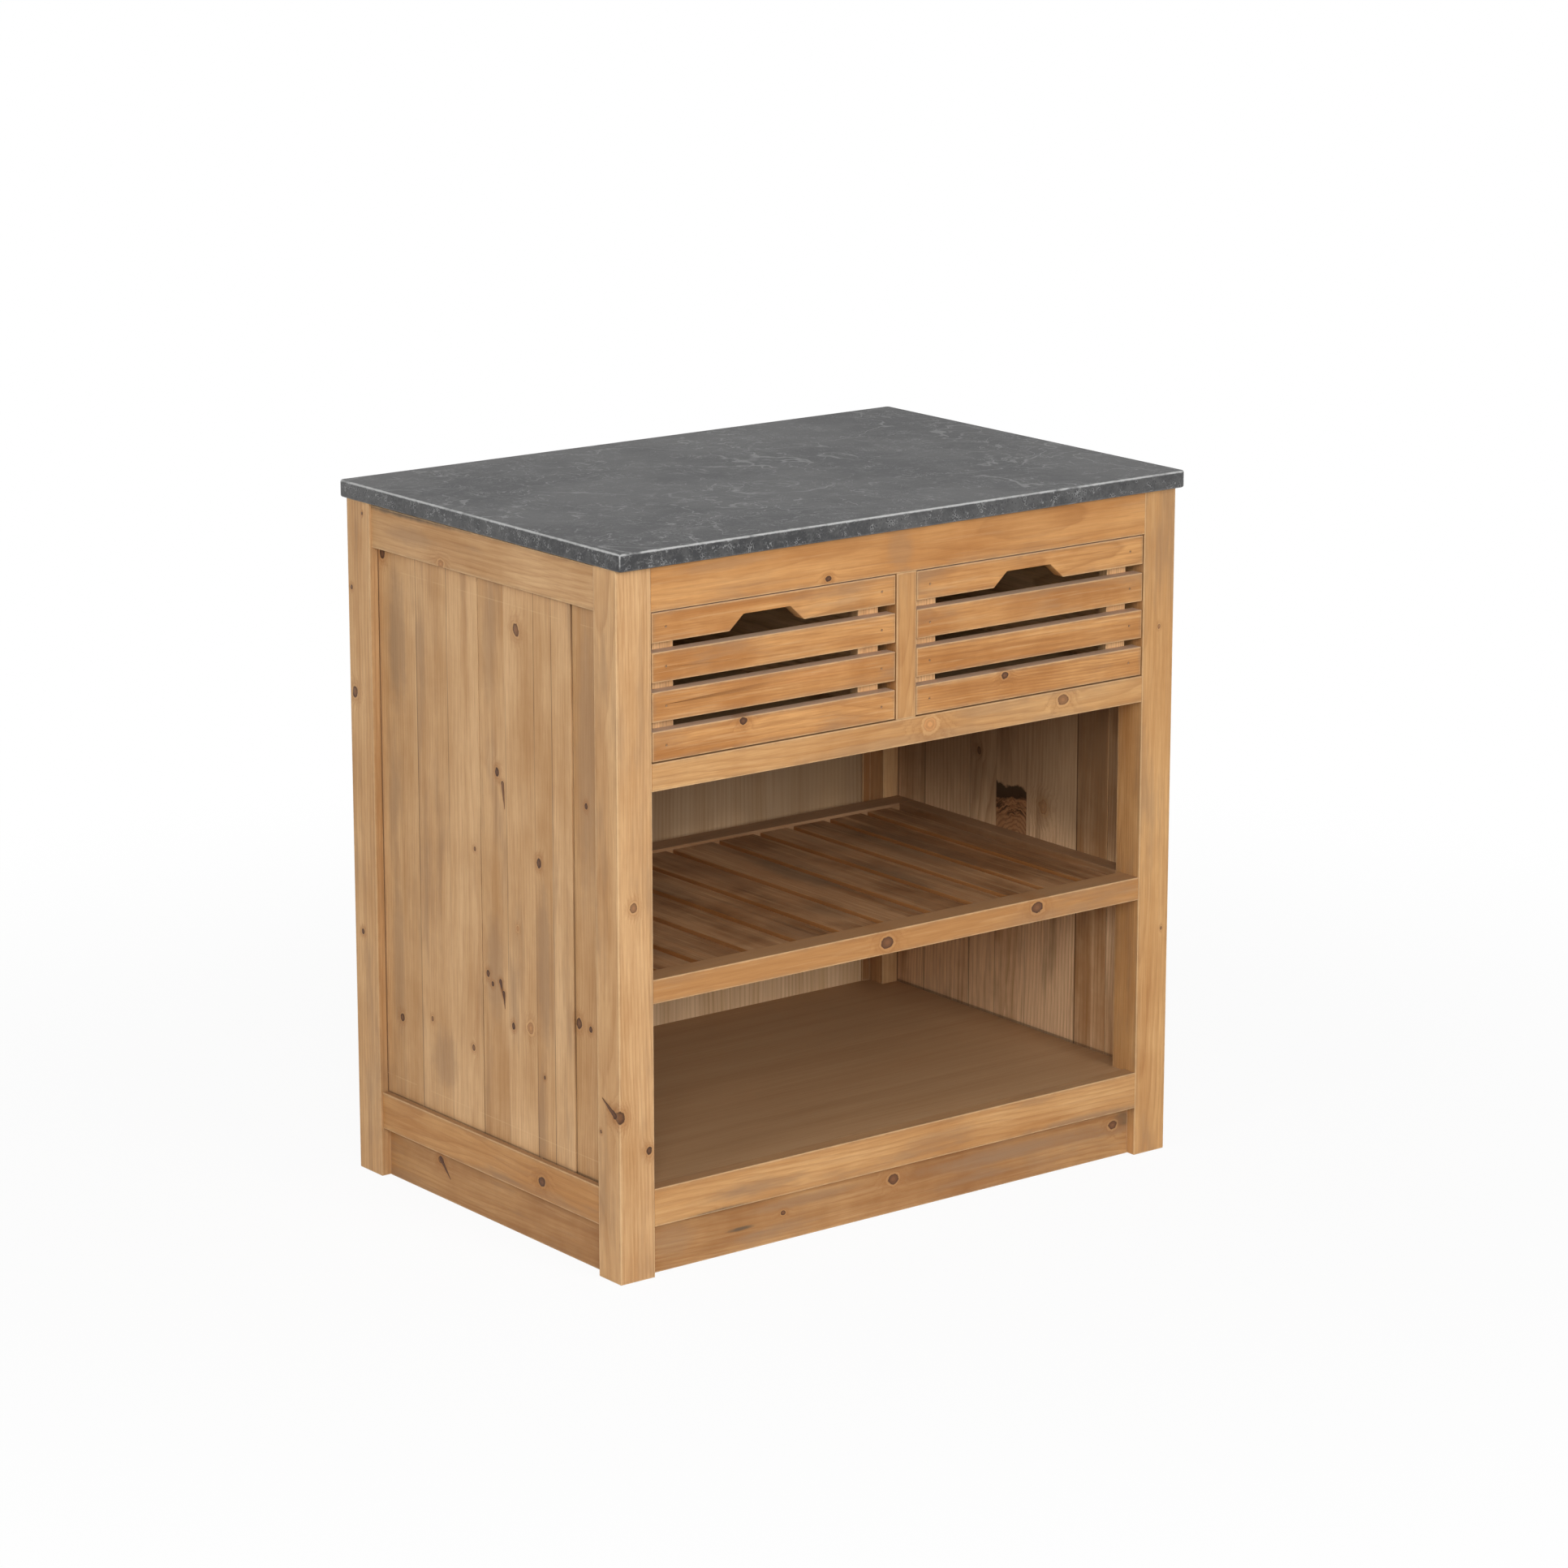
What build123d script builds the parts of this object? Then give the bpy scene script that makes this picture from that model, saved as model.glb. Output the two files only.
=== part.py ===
from build123d import *
import os

# Kitchen base cabinet in rustic pine with a stone worktop.
# Millimetres. +X runs to the right along the front, +Y to the back, +Z up.
# The origin is on the floor, under the middle of the worktop. The front faces -Y.

# Overall sizes
overall_height = 900
body_width = 872
body_depth = 575

# Worktop
worktop_thickness = 22
worktop_side_overhang = 4
worktop_front_overhang = 14
worktop_back_overhang = 11
worktop_corner_radius = 6
worktop_edge_radius = 3

# Legs
leg_width = 51
front_leg_depth = 45
back_leg_depth = 51

# Frame rails: heights are measured from the floor to each rail's top or bottom edge
rail_thickness = 22
top_rail_height = 56
drawer_rail_height = 34
drawer_opening_height = 183
shelf_top = 374
shelf_rail_height = 30
bottom_rail_top = 112
bottom_rail_height = 48
divider_width = 30.5

# Joinery
tenon_thickness = 8
tenon_length = 20
tenon_shoulder = 7
mortise_end_clearance = 1

# Side frames and their panels of upright boards
side_rail_recess = 3
side_rail_top_gap = 2
board_recess = 12
board_thickness = 13
board_lap = 12
board_housing = 8
board_housing_clearance = 1
board_tongue_thickness = 4
board_tongue_length = 5
board_tongue_clearance = 0.5
board_gap = 1.2
narrow_board_setback = 2
left_board_joints = (109, 305)
right_board_joints = (92, 370)
groove_to_tenon = 4

# Plinth boards under the bottom rails
plinth_recess = 13
plinth_thickness = 15

# Back of the carcass
back_panel_thickness = 8
back_panel_recess = 13
back_panel_lap = 10
back_batten_width = 14
back_batten_thickness = 2.5
back_drawer_rail_height = 70
back_bottom_rail_height = 48

# Deck, the floor of the lower bay
deck_thickness = 15
deck_drop = 2
deck_bearer_size = 25

# Slatted shelf
shelf_rail_face = 35
shelf_ledge = 10
shelf_slat_thickness = 14
shelf_slat_drop = 4
shelf_first_gap = 4
shelf_last_gap = 14
shelf_slat_widths = (24, 51, 65, 64, 56, 59, 65, 57, 45, 51, 53, 41)

# Drawers
drawer_gap = 1.5
drawer_recess = 1
drawer_stop_gap = 0.5
drawer_slat_count = 4
drawer_slat_height = 36.5
drawer_slat_thickness = 18
drawer_batten_width = 31
drawer_batten_thickness = 15
drawer_batten_head = 9
drawer_box_inset = 13
drawer_box_height = 150
drawer_board_thickness = 12
drawer_bottom_thickness = 6
drawer_bottom_lift = 8
drawer_bottom_groove = 5

# Hand hole: a trapezoid cut into the lower edge of each drawer's top slat, sawn a little off centre
hand_hole_top_width = 70
hand_hole_bottom_width = 112
hand_hole_depth = 18.5
left_hand_hole_shift = -13
right_hand_hole_shift = -5

# Drawer runners and kickers
runner_gap = 0.3
runner_height = 25
runner_overlap = 15
guide_height = 30
guide_gap = 1
kicker_gap = 2
kicker_width = 25
kicker_lap = 18

# Nails
nail_radius = 1.1
nail_hole_radius = 1.2
drawer_nail_length = 28
drawer_nail_inset = 21
shelf_nail_length = 22

# Places that follow from the sizes above
left = -body_width / 2
right = body_width / 2
front = -(body_depth + worktop_front_overhang + worktop_back_overhang) / 2 + worktop_front_overhang
back = front + body_depth
leg_top = overall_height - worktop_thickness
inner_left = left + leg_width
inner_right = right - leg_width
front_leg_back = front + front_leg_depth
back_leg_front = back - back_leg_depth
rail_back = front + rail_thickness

top_rail_bottom = leg_top - top_rail_height
drawer_rail_top = top_rail_bottom - drawer_opening_height
drawer_rail_bottom = drawer_rail_top - drawer_rail_height
bottom_rail_bottom = bottom_rail_top - bottom_rail_height

side_rail_outside = left + side_rail_recess
side_rail_inside = side_rail_outside + rail_thickness
side_top_rail_top = leg_top - side_rail_top_gap
board_outside = left + board_recess
board_inside = board_outside + board_thickness
board_top = top_rail_bottom + board_lap
board_bottom = bottom_rail_top - board_lap

panel_back = back - back_panel_recess
panel_front = panel_back - back_panel_thickness
back_rail_front = panel_front - rail_thickness

deck_top = bottom_rail_top - deck_drop
deck_bottom = deck_top - deck_thickness
back_bottom_rail_bottom = deck_bottom - back_bottom_rail_height

shelf_bottom = shelf_top - shelf_rail_height
slat_top = shelf_top - shelf_slat_drop
slat_bottom = slat_top - shelf_slat_thickness
shelf_slat_room = inner_right - inner_left - shelf_first_gap - shelf_last_gap
shelf_slat_gap = (shelf_slat_room - sum(shelf_slat_widths)) / (len(shelf_slat_widths) - 1)

drawer_front = front + drawer_recess
drawer_slat_back = drawer_front + drawer_slat_thickness
drawer_batten_back = drawer_slat_back + drawer_batten_thickness
drawer_back = back_rail_front - drawer_stop_gap
drawer_bottom = drawer_rail_top + drawer_gap
drawer_top = top_rail_bottom - drawer_gap
drawer_box_top = drawer_bottom + drawer_box_height
drawer_floor_bottom = drawer_bottom + drawer_bottom_lift
drawer_floor_top = drawer_floor_bottom + drawer_bottom_thickness
drawer_open_height = drawer_top - drawer_bottom - drawer_slat_count * drawer_slat_height
drawer_slat_gap = drawer_open_height / (drawer_slat_count - 1)

runner_top = drawer_bottom - runner_gap
runner_bottom = runner_top - runner_height
guide_top = runner_top + guide_height
kicker_bottom = drawer_box_top + kicker_gap
kicker_top = top_rail_bottom + kicker_lap

# Each drawer's front runs from its left edge to its right edge
left_drawer_edges = (inner_left + drawer_gap, -divider_width / 2 - drawer_gap)
right_drawer_edges = (divider_width / 2 + drawer_gap, inner_right - drawer_gap)

parts = {}


def block(x0, x1, y0, y1, z0, z1):
    """A rectangular block between two corners."""
    size = Box(x1 - x0, y1 - y0, z1 - z0, align=(Align.MIN, Align.MIN, Align.MIN))
    return Pos(x0, y0, z0) * size


def flipped(solid):
    """The same piece for the other side of the cabinet."""
    return mirror(solid, about=Plane.YZ)


def group(solids):
    """Several separate solids that share one node."""
    return Compound(children=list(solids))


def upright_prism(points, z0, z1):
    """A prism with the given plan outline."""
    outline = Polyline(*points, close=True)
    return extrude(Pos(0, 0, z0) * make_face(outline), amount=z1 - z0)


def side_prism(points, x0, x1):
    """A prism whose outline is given as (y, z) points, standing from x0 to x1."""
    outline = Polyline(*[(x0, y, z) for y, z in points], close=True)
    return extrude(make_face(outline), amount=x1 - x0, dir=(1, 0, 0))


def front_prism(points, y0, y1):
    """A prism whose outline is given as (x, z) points, lying from y0 to y1."""
    outline = Polyline(*[(x, y0, z) for x, z in points], close=True)
    return extrude(make_face(outline), amount=y1 - y0, dir=(0, 1, 0))


# Tenons that enter the legs from the inside, for rails that run across the cabinet

def cross_tenon(y0, y1, z0, z1, extra=0):
    """The left tenon of a rail that fills y0 to y1 and z0 to z1."""
    middle = (y0 + y1) / 2
    return block(
        inner_left - tenon_length - extra, inner_left,
        middle - tenon_thickness / 2, middle + tenon_thickness / 2,
        z0 + tenon_shoulder, z1 - tenon_shoulder,
    )


def cross_rail(y0, y1, z0, z1):
    """A rail between two legs, with a tenon at each end."""
    rail = block(inner_left, inner_right, y0, y1, z0, z1)
    tenon = cross_tenon(y0, y1, z0, z1)
    return rail + tenon + flipped(tenon)


def side_tenon_heights(z0, z1):
    """Lowest and highest level of a side rail's tenon, clear of the groove for the boards."""
    low = z0 + tenon_shoulder
    high = z1 - tenon_shoulder
    if z1 > board_top:
        low = max(low, board_top + groove_to_tenon)
    if z0 < board_bottom:
        high = min(high, board_bottom - groove_to_tenon)
    return low, high


def side_tenon(y0, y1, z0, z1):
    """A tenon of a side rail, between y0 and y1."""
    middle = (side_rail_outside + side_rail_inside) / 2
    low, high = side_tenon_heights(z0, z1)
    return block(middle - tenon_thickness / 2, middle + tenon_thickness / 2, y0, y1, low, high)


# Rails across the front and back: (y0, y1, z0, z1)
front_rails = {
    "front_top_rail": (front, rail_back, top_rail_bottom, leg_top),
    "drawer_rail": (front, front_leg_back, drawer_rail_bottom, drawer_rail_top),
    "shelf_front_rail": (front, front_leg_back, shelf_bottom, shelf_top),
    "front_bottom_rail": (front, rail_back, bottom_rail_bottom, bottom_rail_top),
}
back_rails = {
    "back_top_rail": (back_rail_front, panel_front, top_rail_bottom, leg_top),
    "back_drawer_rail": (
        back_rail_front, panel_front, drawer_rail_bottom, drawer_rail_bottom + back_drawer_rail_height,
    ),
    "back_bottom_rail": (back_rail_front, panel_front, back_bottom_rail_bottom, deck_bottom),
}
side_rails = {
    "top_rail": (top_rail_bottom, side_top_rail_top),
    "bottom_rail": (bottom_rail_bottom, bottom_rail_top),
}


def worktop():
    slab = block(
        left - worktop_side_overhang, right + worktop_side_overhang,
        front - worktop_front_overhang, back + worktop_back_overhang,
        leg_top, overall_height,
    )
    slab = fillet(slab.edges().filter_by(Axis.Z), worktop_corner_radius)
    rims = slab.faces().sort_by(Axis.Z)[0].edges() + slab.faces().sort_by(Axis.Z)[-1].edges()
    return fillet(rims, worktop_edge_radius)


def front_leg():
    """The left front leg, with mortises for four front rails and two side rails."""
    leg = block(left, inner_left, front, front_leg_back, 0, leg_top)
    leg -= block(
        board_outside, board_inside, front_leg_back - board_housing, front_leg_back, board_bottom, board_top
    )
    for rail in front_rails.values():
        leg -= cross_tenon(*rail, extra=mortise_end_clearance)
    mortise_end = front_leg_back - tenon_length - mortise_end_clearance
    for rail in side_rails.values():
        leg -= side_tenon(mortise_end, front_leg_back, *rail)
    return leg


def back_leg():
    """The left back leg, with a rebate for the back panel."""
    leg = block(left, inner_left, back_leg_front, back, 0, leg_top)
    leg -= block(
        board_outside, board_inside, back_leg_front, back_leg_front + board_housing, board_bottom, board_top
    )
    panel_edge = inner_left - back_panel_lap
    leg -= block(panel_edge, inner_left, panel_front, back, back_bottom_rail_bottom, leg_top)
    for rail in back_rails.values():
        leg -= cross_tenon(*rail, extra=mortise_end_clearance)
    mortise_end = back_leg_front + tenon_length + mortise_end_clearance
    for rail in side_rails.values():
        leg -= side_tenon(back_leg_front, mortise_end, *rail)
    return leg


def side_rail(z0, z1):
    """A left side rail. Its inner face is rebated where the boards overlap it."""
    rail = block(side_rail_outside, side_rail_inside, front_leg_back, back_leg_front, z0, z1)
    rail += side_tenon(front_leg_back - tenon_length, back_leg_front + tenon_length, z0, z1)
    rail -= block(board_outside, side_rail_inside, front_leg_back, back_leg_front, board_bottom, board_top)
    return rail


def side_boards(joints):
    """The left panel: upright boards joined by tongues, held in the legs' grooves.

    Each joint is a distance from the cabinet's front. The narrow board next to the front leg
    is thinner, so its outer face lies deeper.
    """
    panel_start = front_leg_back - board_housing + board_housing_clearance
    panel_end = back_leg_front + board_housing - board_housing_clearance
    starts = [panel_start] + [front + joint + board_gap / 2 for joint in joints]
    ends = [front + joint - board_gap / 2 for joint in joints] + [panel_end]
    setbacks = [narrow_board_setback] + [0] * len(joints)
    middle = (board_outside + narrow_board_setback + board_inside) / 2
    tongue_outside = middle - board_tongue_thickness / 2
    tongue_inside = middle + board_tongue_thickness / 2
    slot = board_tongue_length - board_gap + board_tongue_clearance
    boards = []
    for number, (start, end, setback) in enumerate(zip(starts, ends, setbacks)):
        board = block(board_outside + setback, board_inside, start, end, board_bottom, board_top)
        if number > 0:
            tongue_end = start - board_tongue_length
            board += block(tongue_outside, tongue_inside, tongue_end, start, board_bottom, board_top)
        if number < len(joints):
            board -= block(tongue_outside, tongue_inside, end - slot, end, board_bottom, board_top)
        boards.append(board)
    return group(boards)


def front_plinth():
    y0 = front + plinth_recess
    return block(inner_left, inner_right, y0, y0 + plinth_thickness, 0, bottom_rail_bottom)


def side_plinth():
    x0 = left + plinth_recess
    return block(x0, x0 + plinth_thickness, front_leg_back, back_leg_front, 0, bottom_rail_bottom)


def divider():
    """The upright between the two drawers, as deep as the front legs."""
    half = divider_width / 2
    return block(-half, half, front, front_leg_back, drawer_rail_top, top_rail_bottom)


def back_panel():
    x0 = inner_left - back_panel_lap
    return block(x0, -x0, panel_front, panel_back, back_bottom_rail_bottom, leg_top)


def back_batten():
    """The left thin cover strip in the corner between the back leg and the back panel."""
    y0 = panel_front - back_batten_thickness
    return block(inner_left, inner_left + back_batten_width, y0, panel_front, deck_top, drawer_rail_bottom)


def deck():
    """The floor of the lower bay, notched around the legs."""
    half_outline = [
        (0, rail_back), (inner_left, rail_back),
        (inner_left, front_leg_back), (board_inside, front_leg_back),
        (board_inside, back_leg_front), (inner_left, back_leg_front),
        (inner_left, panel_front), (0, panel_front),
    ]
    other_half = [(-x, y) for x, y in reversed(half_outline[1:-1])]
    return upright_prism(half_outline + other_half, deck_bottom, deck_top)


def deck_front_bearer():
    """A square strip behind the front bottom rail, under the deck's edge."""
    return block(
        inner_left, inner_right,
        rail_back, rail_back + deck_bearer_size,
        deck_bottom - deck_bearer_size, deck_bottom,
    )


# Slatted shelf

def shelf_slat_edges():
    """Left and right edge of each shelf slat, counted from the left leg's inner face."""
    edges = []
    x = inner_left + shelf_first_gap
    for width in shelf_slat_widths:
        edges.append((x, x + width))
        x += width + shelf_slat_gap
    return edges


def shelf_nail_places():
    """Where the nails go through the slats, one over each ledge."""
    front_row = front + shelf_rail_face + shelf_ledge / 2
    back_row = back_leg_front - shelf_rail_face - shelf_ledge / 2
    return [((x0 + x1) / 2, y) for x0, x1 in shelf_slat_edges() for y in (front_row, back_row)]


def nail_hole(x, y, length):
    """An upright nail hole, from the top of the shelf slats down."""
    hole = Cylinder(nail_hole_radius, length, align=(Align.CENTER, Align.CENTER, Align.MIN))
    return Pos(x, y, slat_top - length) * hole


def with_shelf_nail_holes(solid):
    for x, y in shelf_nail_places():
        solid -= nail_hole(x, y, shelf_nail_length)
    return solid


def shelf_front_rail():
    rail = cross_rail(*front_rails["shelf_front_rail"])
    ledge_start = front + shelf_rail_face
    rail -= block(inner_left, inner_right, ledge_start, front_leg_back, slat_bottom, shelf_top)
    return with_shelf_nail_holes(rail)


def shelf_back_rail():
    """Reaches from panel to panel, in front of the back legs."""
    y0 = back_leg_front - shelf_rail_face - shelf_ledge
    rail = block(board_inside, -board_inside, y0, back_leg_front, shelf_bottom, shelf_top)
    rail -= block(board_inside, -board_inside, y0, y0 + shelf_ledge, slat_bottom, shelf_top)
    return with_shelf_nail_holes(rail)


def shelf_end_rail():
    """The left end rail, from the front leg to the back rail's ledge."""
    y1 = back_leg_front - shelf_rail_face - shelf_ledge
    rail = block(board_inside, inner_left, front_leg_back, y1, shelf_bottom, shelf_top)
    over_ledge = block(board_inside, inner_left, y1, y1 + shelf_ledge, slat_bottom, shelf_top)
    return rail + over_ledge


def shelf_slats():
    y0 = front + shelf_rail_face
    y1 = back_leg_front - shelf_rail_face
    slats = [block(x0, x1, y0, y1, slat_bottom, slat_top) for x0, x1 in shelf_slat_edges()]
    places = shelf_nail_places()
    drilled = []
    for number, slat in enumerate(slats):
        for x, y in places[2 * number:2 * number + 2]:
            slat -= nail_hole(x, y, shelf_slat_thickness)
        drilled.append(slat)
    return group(drilled)


def shelf_nails():
    shank = Cylinder(nail_radius, shelf_nail_length, align=(Align.CENTER, Align.CENTER, Align.MIN))
    return group(Pos(x, y, slat_top - shelf_nail_length) * shank for x, y in shelf_nail_places())


# Drawer runners and kickers

def side_runner():
    """Carries the left drawer's outer side. Its rib guides the side."""
    box_side = left_drawer_edges[0] + drawer_box_inset
    reach = box_side + runner_overlap
    rib = box_side - guide_gap
    base = block(inner_left, reach, front_leg_back, back_rail_front, runner_bottom, runner_top)
    return base + block(inner_left, rib, front_leg_back, back_rail_front, runner_top, guide_top)


def centre_runner():
    """Carries the inner sides of both drawers, with one rib between them."""
    box_side = right_drawer_edges[0] + drawer_box_inset
    reach = box_side + runner_overlap
    rib = box_side - guide_gap
    base = block(-reach, reach, front_leg_back, back_rail_front, runner_bottom, runner_top)
    return base + block(-rib, rib, front_leg_back, back_rail_front, runner_top, guide_top)


def kicker(x0, x1, nose):
    """A strip just above the drawer sides, fixed to the top rails at the front and back.

    Its lower part, below the top rails, starts at nose.
    """
    outline = [
        (rail_back, top_rail_bottom), (rail_back, kicker_top), (back_rail_front, kicker_top),
        (back_rail_front, kicker_bottom), (nose, kicker_bottom), (nose, top_rail_bottom),
    ]
    return side_prism(outline, x0, x1)


def side_kicker():
    x0 = left_drawer_edges[0] + drawer_box_inset - guide_gap
    return kicker(x0, x0 + kicker_width, drawer_batten_back + kicker_gap)


def centre_kicker():
    """Its lower part starts behind the divider."""
    reach = right_drawer_edges[0] + drawer_box_inset + drawer_board_thickness
    return kicker(-reach, reach, front_leg_back)


# Drawers: every function takes the left and right edge of the drawer's front

def drawer_slat_bottoms():
    """Bottom edge of each front slat, from the lowest up."""
    pitch = drawer_slat_height + drawer_slat_gap
    return [drawer_bottom + pitch * number for number in range(drawer_slat_count)]


def drawer_nail_places(x0, x1):
    """Where the nails go in: one at each end of each slat."""
    columns = (x0 + drawer_nail_inset, x1 - drawer_nail_inset)
    rows = [z0 + drawer_slat_height / 2 for z0 in drawer_slat_bottoms()]
    return [(x, z) for z in rows for x in columns]


def drawer_nail_rod(x, z, radius):
    """A level rod as long as a drawer nail, from the face of the slats inwards."""
    rod = Cylinder(radius, drawer_nail_length, align=(Align.CENTER, Align.CENTER, Align.MIN))
    return Pos(x, drawer_front, z) * Rot(-90, 0, 0) * rod


def with_drawer_nail_holes(solid, x0, x1, z0, z1):
    """Drills the nail holes whose centres lie between z0 and z1."""
    for x, z in drawer_nail_places(x0, x1):
        if z0 < z < z1:
            solid -= drawer_nail_rod(x, z, nail_hole_radius)
    return solid


def drawer_slat(x0, x1, z0):
    z1 = z0 + drawer_slat_height
    slat = block(x0, x1, drawer_front, drawer_slat_back, z0, z1)
    return with_drawer_nail_holes(slat, x0, x1, z0, z1)


def hand_hole(x0, x1, shift, z0):
    """The trapezoid hand hole in the lower edge of a slat whose bottom is at z0."""
    middle = (x0 + x1) / 2 + shift
    top = hand_hole_top_width / 2
    bottom = hand_hole_bottom_width / 2
    points = [
        (middle - bottom, z0), (middle - top, z0 + hand_hole_depth),
        (middle + top, z0 + hand_hole_depth), (middle + bottom, z0),
    ]
    return front_prism(points, drawer_front, drawer_slat_back)


def drawer_batten(x0, x1, start):
    """An upright behind the slats, whose left edge is at start."""
    end = start + drawer_batten_width
    z1 = drawer_top - drawer_batten_head
    batten = block(start, end, drawer_slat_back, drawer_batten_back, drawer_bottom, z1)
    return with_drawer_nail_holes(batten, x0, x1, drawer_bottom, z1)


def drawer_side(outside, direction):
    """A box side. direction is 1 for the left side and -1 for the right."""
    inside = outside + direction * drawer_board_thickness
    groove = inside - direction * drawer_bottom_groove
    side = block(
        min(outside, inside), max(outside, inside),
        drawer_batten_back, drawer_back,
        drawer_bottom, drawer_box_top,
    )
    side -= block(
        min(groove, inside), max(groove, inside),
        drawer_batten_back, drawer_back,
        drawer_floor_bottom, drawer_floor_top,
    )
    return side


def drawer_back_board(box_left, box_right):
    """Stands on the drawer's floor, between its sides."""
    return block(
        box_left + drawer_board_thickness, box_right - drawer_board_thickness,
        drawer_back - drawer_board_thickness, drawer_back, drawer_floor_top, drawer_box_top,
    )


def drawer_floor(box_left, box_right):
    """A thin sheet in the sides' grooves, with its front corners cut around the battens."""
    x0 = box_left + drawer_board_thickness - drawer_bottom_groove
    x1 = box_right - drawer_board_thickness + drawer_bottom_groove
    narrow0 = box_left + drawer_batten_width
    narrow1 = box_right - drawer_batten_width
    outline = [
        (narrow0, drawer_slat_back), (narrow1, drawer_slat_back), (narrow1, drawer_batten_back),
        (x1, drawer_batten_back), (x1, drawer_back), (x0, drawer_back),
        (x0, drawer_batten_back), (narrow0, drawer_batten_back),
    ]
    return upright_prism(outline, drawer_floor_bottom, drawer_floor_top)


def add_drawer(name, edges, hole_shift):
    x0, x1 = edges
    box_left = x0 + drawer_box_inset
    box_right = x1 - drawer_box_inset
    bottoms = drawer_slat_bottoms()
    for number, z0 in enumerate(bottoms[:-1], start=1):
        parts[f"{name}_front_slat_{number}"] = drawer_slat(x0, x1, z0)
    top_slat = drawer_slat(x0, x1, bottoms[-1])
    parts[f"{name}_top_slat"] = top_slat - hand_hole(x0, x1, hole_shift, bottoms[-1])
    parts[f"{name}_left_batten"] = drawer_batten(x0, x1, box_left)
    parts[f"{name}_right_batten"] = drawer_batten(x0, x1, box_right - drawer_batten_width)
    parts[f"{name}_left_side"] = drawer_side(box_left, 1)
    parts[f"{name}_right_side"] = drawer_side(box_right, -1)
    parts[f"{name}_back"] = drawer_back_board(box_left, box_right)
    parts[f"{name}_bottom"] = drawer_floor(box_left, box_right)
    nails = (drawer_nail_rod(x, z, nail_radius) for x, z in drawer_nail_places(x0, x1))
    parts[f"{name}_nails"] = group(nails)


def add_carcass():
    parts["worktop"] = worktop()
    parts["front_left_leg"] = front_leg()
    parts["front_right_leg"] = flipped(front_leg())
    parts["back_left_leg"] = back_leg()
    parts["back_right_leg"] = flipped(back_leg())
    for name in ("front_top_rail", "drawer_rail", "front_bottom_rail"):
        parts[name] = cross_rail(*front_rails[name])
    for name, rail in back_rails.items():
        parts[name] = cross_rail(*rail)
    for name, heights in side_rails.items():
        parts[f"left_{name}"] = side_rail(*heights)
        parts[f"right_{name}"] = flipped(side_rail(*heights))
    parts["left_side_boards"] = side_boards(left_board_joints)
    parts["right_side_boards"] = flipped(side_boards(right_board_joints))
    parts["front_plinth"] = front_plinth()
    parts["left_plinth"] = side_plinth()
    parts["right_plinth"] = flipped(side_plinth())
    parts["drawer_divider"] = divider()
    parts["back_panel"] = back_panel()
    parts["back_left_batten"] = back_batten()
    parts["back_right_batten"] = flipped(back_batten())
    parts["deck"] = deck()
    parts["deck_front_bearer"] = deck_front_bearer()


def add_shelf():
    parts["shelf_front_rail"] = shelf_front_rail()
    parts["shelf_back_rail"] = shelf_back_rail()
    parts["shelf_left_rail"] = shelf_end_rail()
    parts["shelf_right_rail"] = flipped(shelf_end_rail())
    parts["shelf_slats"] = shelf_slats()
    parts["shelf_nails"] = shelf_nails()


def add_drawer_supports():
    parts["left_runner"] = side_runner()
    parts["centre_runner"] = centre_runner()
    parts["right_runner"] = flipped(side_runner())
    parts["left_kicker"] = side_kicker()
    parts["centre_kicker"] = centre_kicker()
    parts["right_kicker"] = flipped(side_kicker())


add_carcass()
add_shelf()
add_drawer_supports()
add_drawer("left_drawer", left_drawer_edges, left_hand_hole_shift)
add_drawer("right_drawer", right_drawer_edges, right_hand_hole_shift)

os.makedirs("parts", exist_ok=True)
for node, shape in parts.items():
    export_step(shape, f"parts/{node}.step")
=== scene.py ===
import bpy
import math
from mathutils import Matrix, Vector


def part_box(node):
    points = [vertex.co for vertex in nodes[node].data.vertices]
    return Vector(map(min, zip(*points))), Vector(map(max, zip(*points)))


# Looks for a pine kitchen base cabinet with a stone worktop. Metres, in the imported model's frame.
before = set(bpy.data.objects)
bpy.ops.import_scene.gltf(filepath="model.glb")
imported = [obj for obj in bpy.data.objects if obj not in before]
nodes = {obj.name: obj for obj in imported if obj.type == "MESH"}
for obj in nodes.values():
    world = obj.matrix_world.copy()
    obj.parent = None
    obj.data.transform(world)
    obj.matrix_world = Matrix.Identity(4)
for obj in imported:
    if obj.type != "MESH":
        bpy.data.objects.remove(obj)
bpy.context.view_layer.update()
mm = 0.001

# Camera: the photograph's viewing angle, fitted to the cabinet's edges
view_azimuth = math.radians(-37.58)
view_elevation = math.radians(14.08)
view_distance = 6.435
view_target = Vector((0.026, -0.007, 0.497))
focal_in_pixels = 6211
image_in_pixels = 1932
sensor_width = 36

# Light from all round, as a share of white, and the softboxes' cone in degrees
ambient_level = 0.185
softbox_spread = 90
cabinet_middle = Vector((0, 0, 0.45))

# Colours, linear. A palette is the palest and the deepest tone of one group of pieces.
leg_tones = ((0.68, 0.422, 0.208), (0.49, 0.266, 0.110))
front_tones = ((0.62, 0.318, 0.114), (0.41, 0.170, 0.046))
rail_tones = ((0.64, 0.370, 0.155), (0.45, 0.218, 0.074))
board_tones = ((0.68, 0.430, 0.220), (0.47, 0.260, 0.110))
inner_board_tones = ((0.93, 0.640, 0.380), (0.48, 0.260, 0.115))
shelf_tones = ((0.42, 0.240, 0.120), (0.125, 0.056, 0.022))
plinth_tones = ((0.50, 0.280, 0.115), (0.30, 0.138, 0.048))
inside_tones = ((0.86, 0.560, 0.290), (0.70, 0.390, 0.165))
amber = (0.36, 0.150, 0.042)
latewood = (0.30, 0.122, 0.036)
weathered = (0.30, 0.178, 0.096)
sawn_grey = (0.62, 0.440, 0.310)
# A dark brown for smears, and for the painted shadow under the worktop
smudge_and_shadow_brown = (0.120, 0.080, 0.048)
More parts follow.
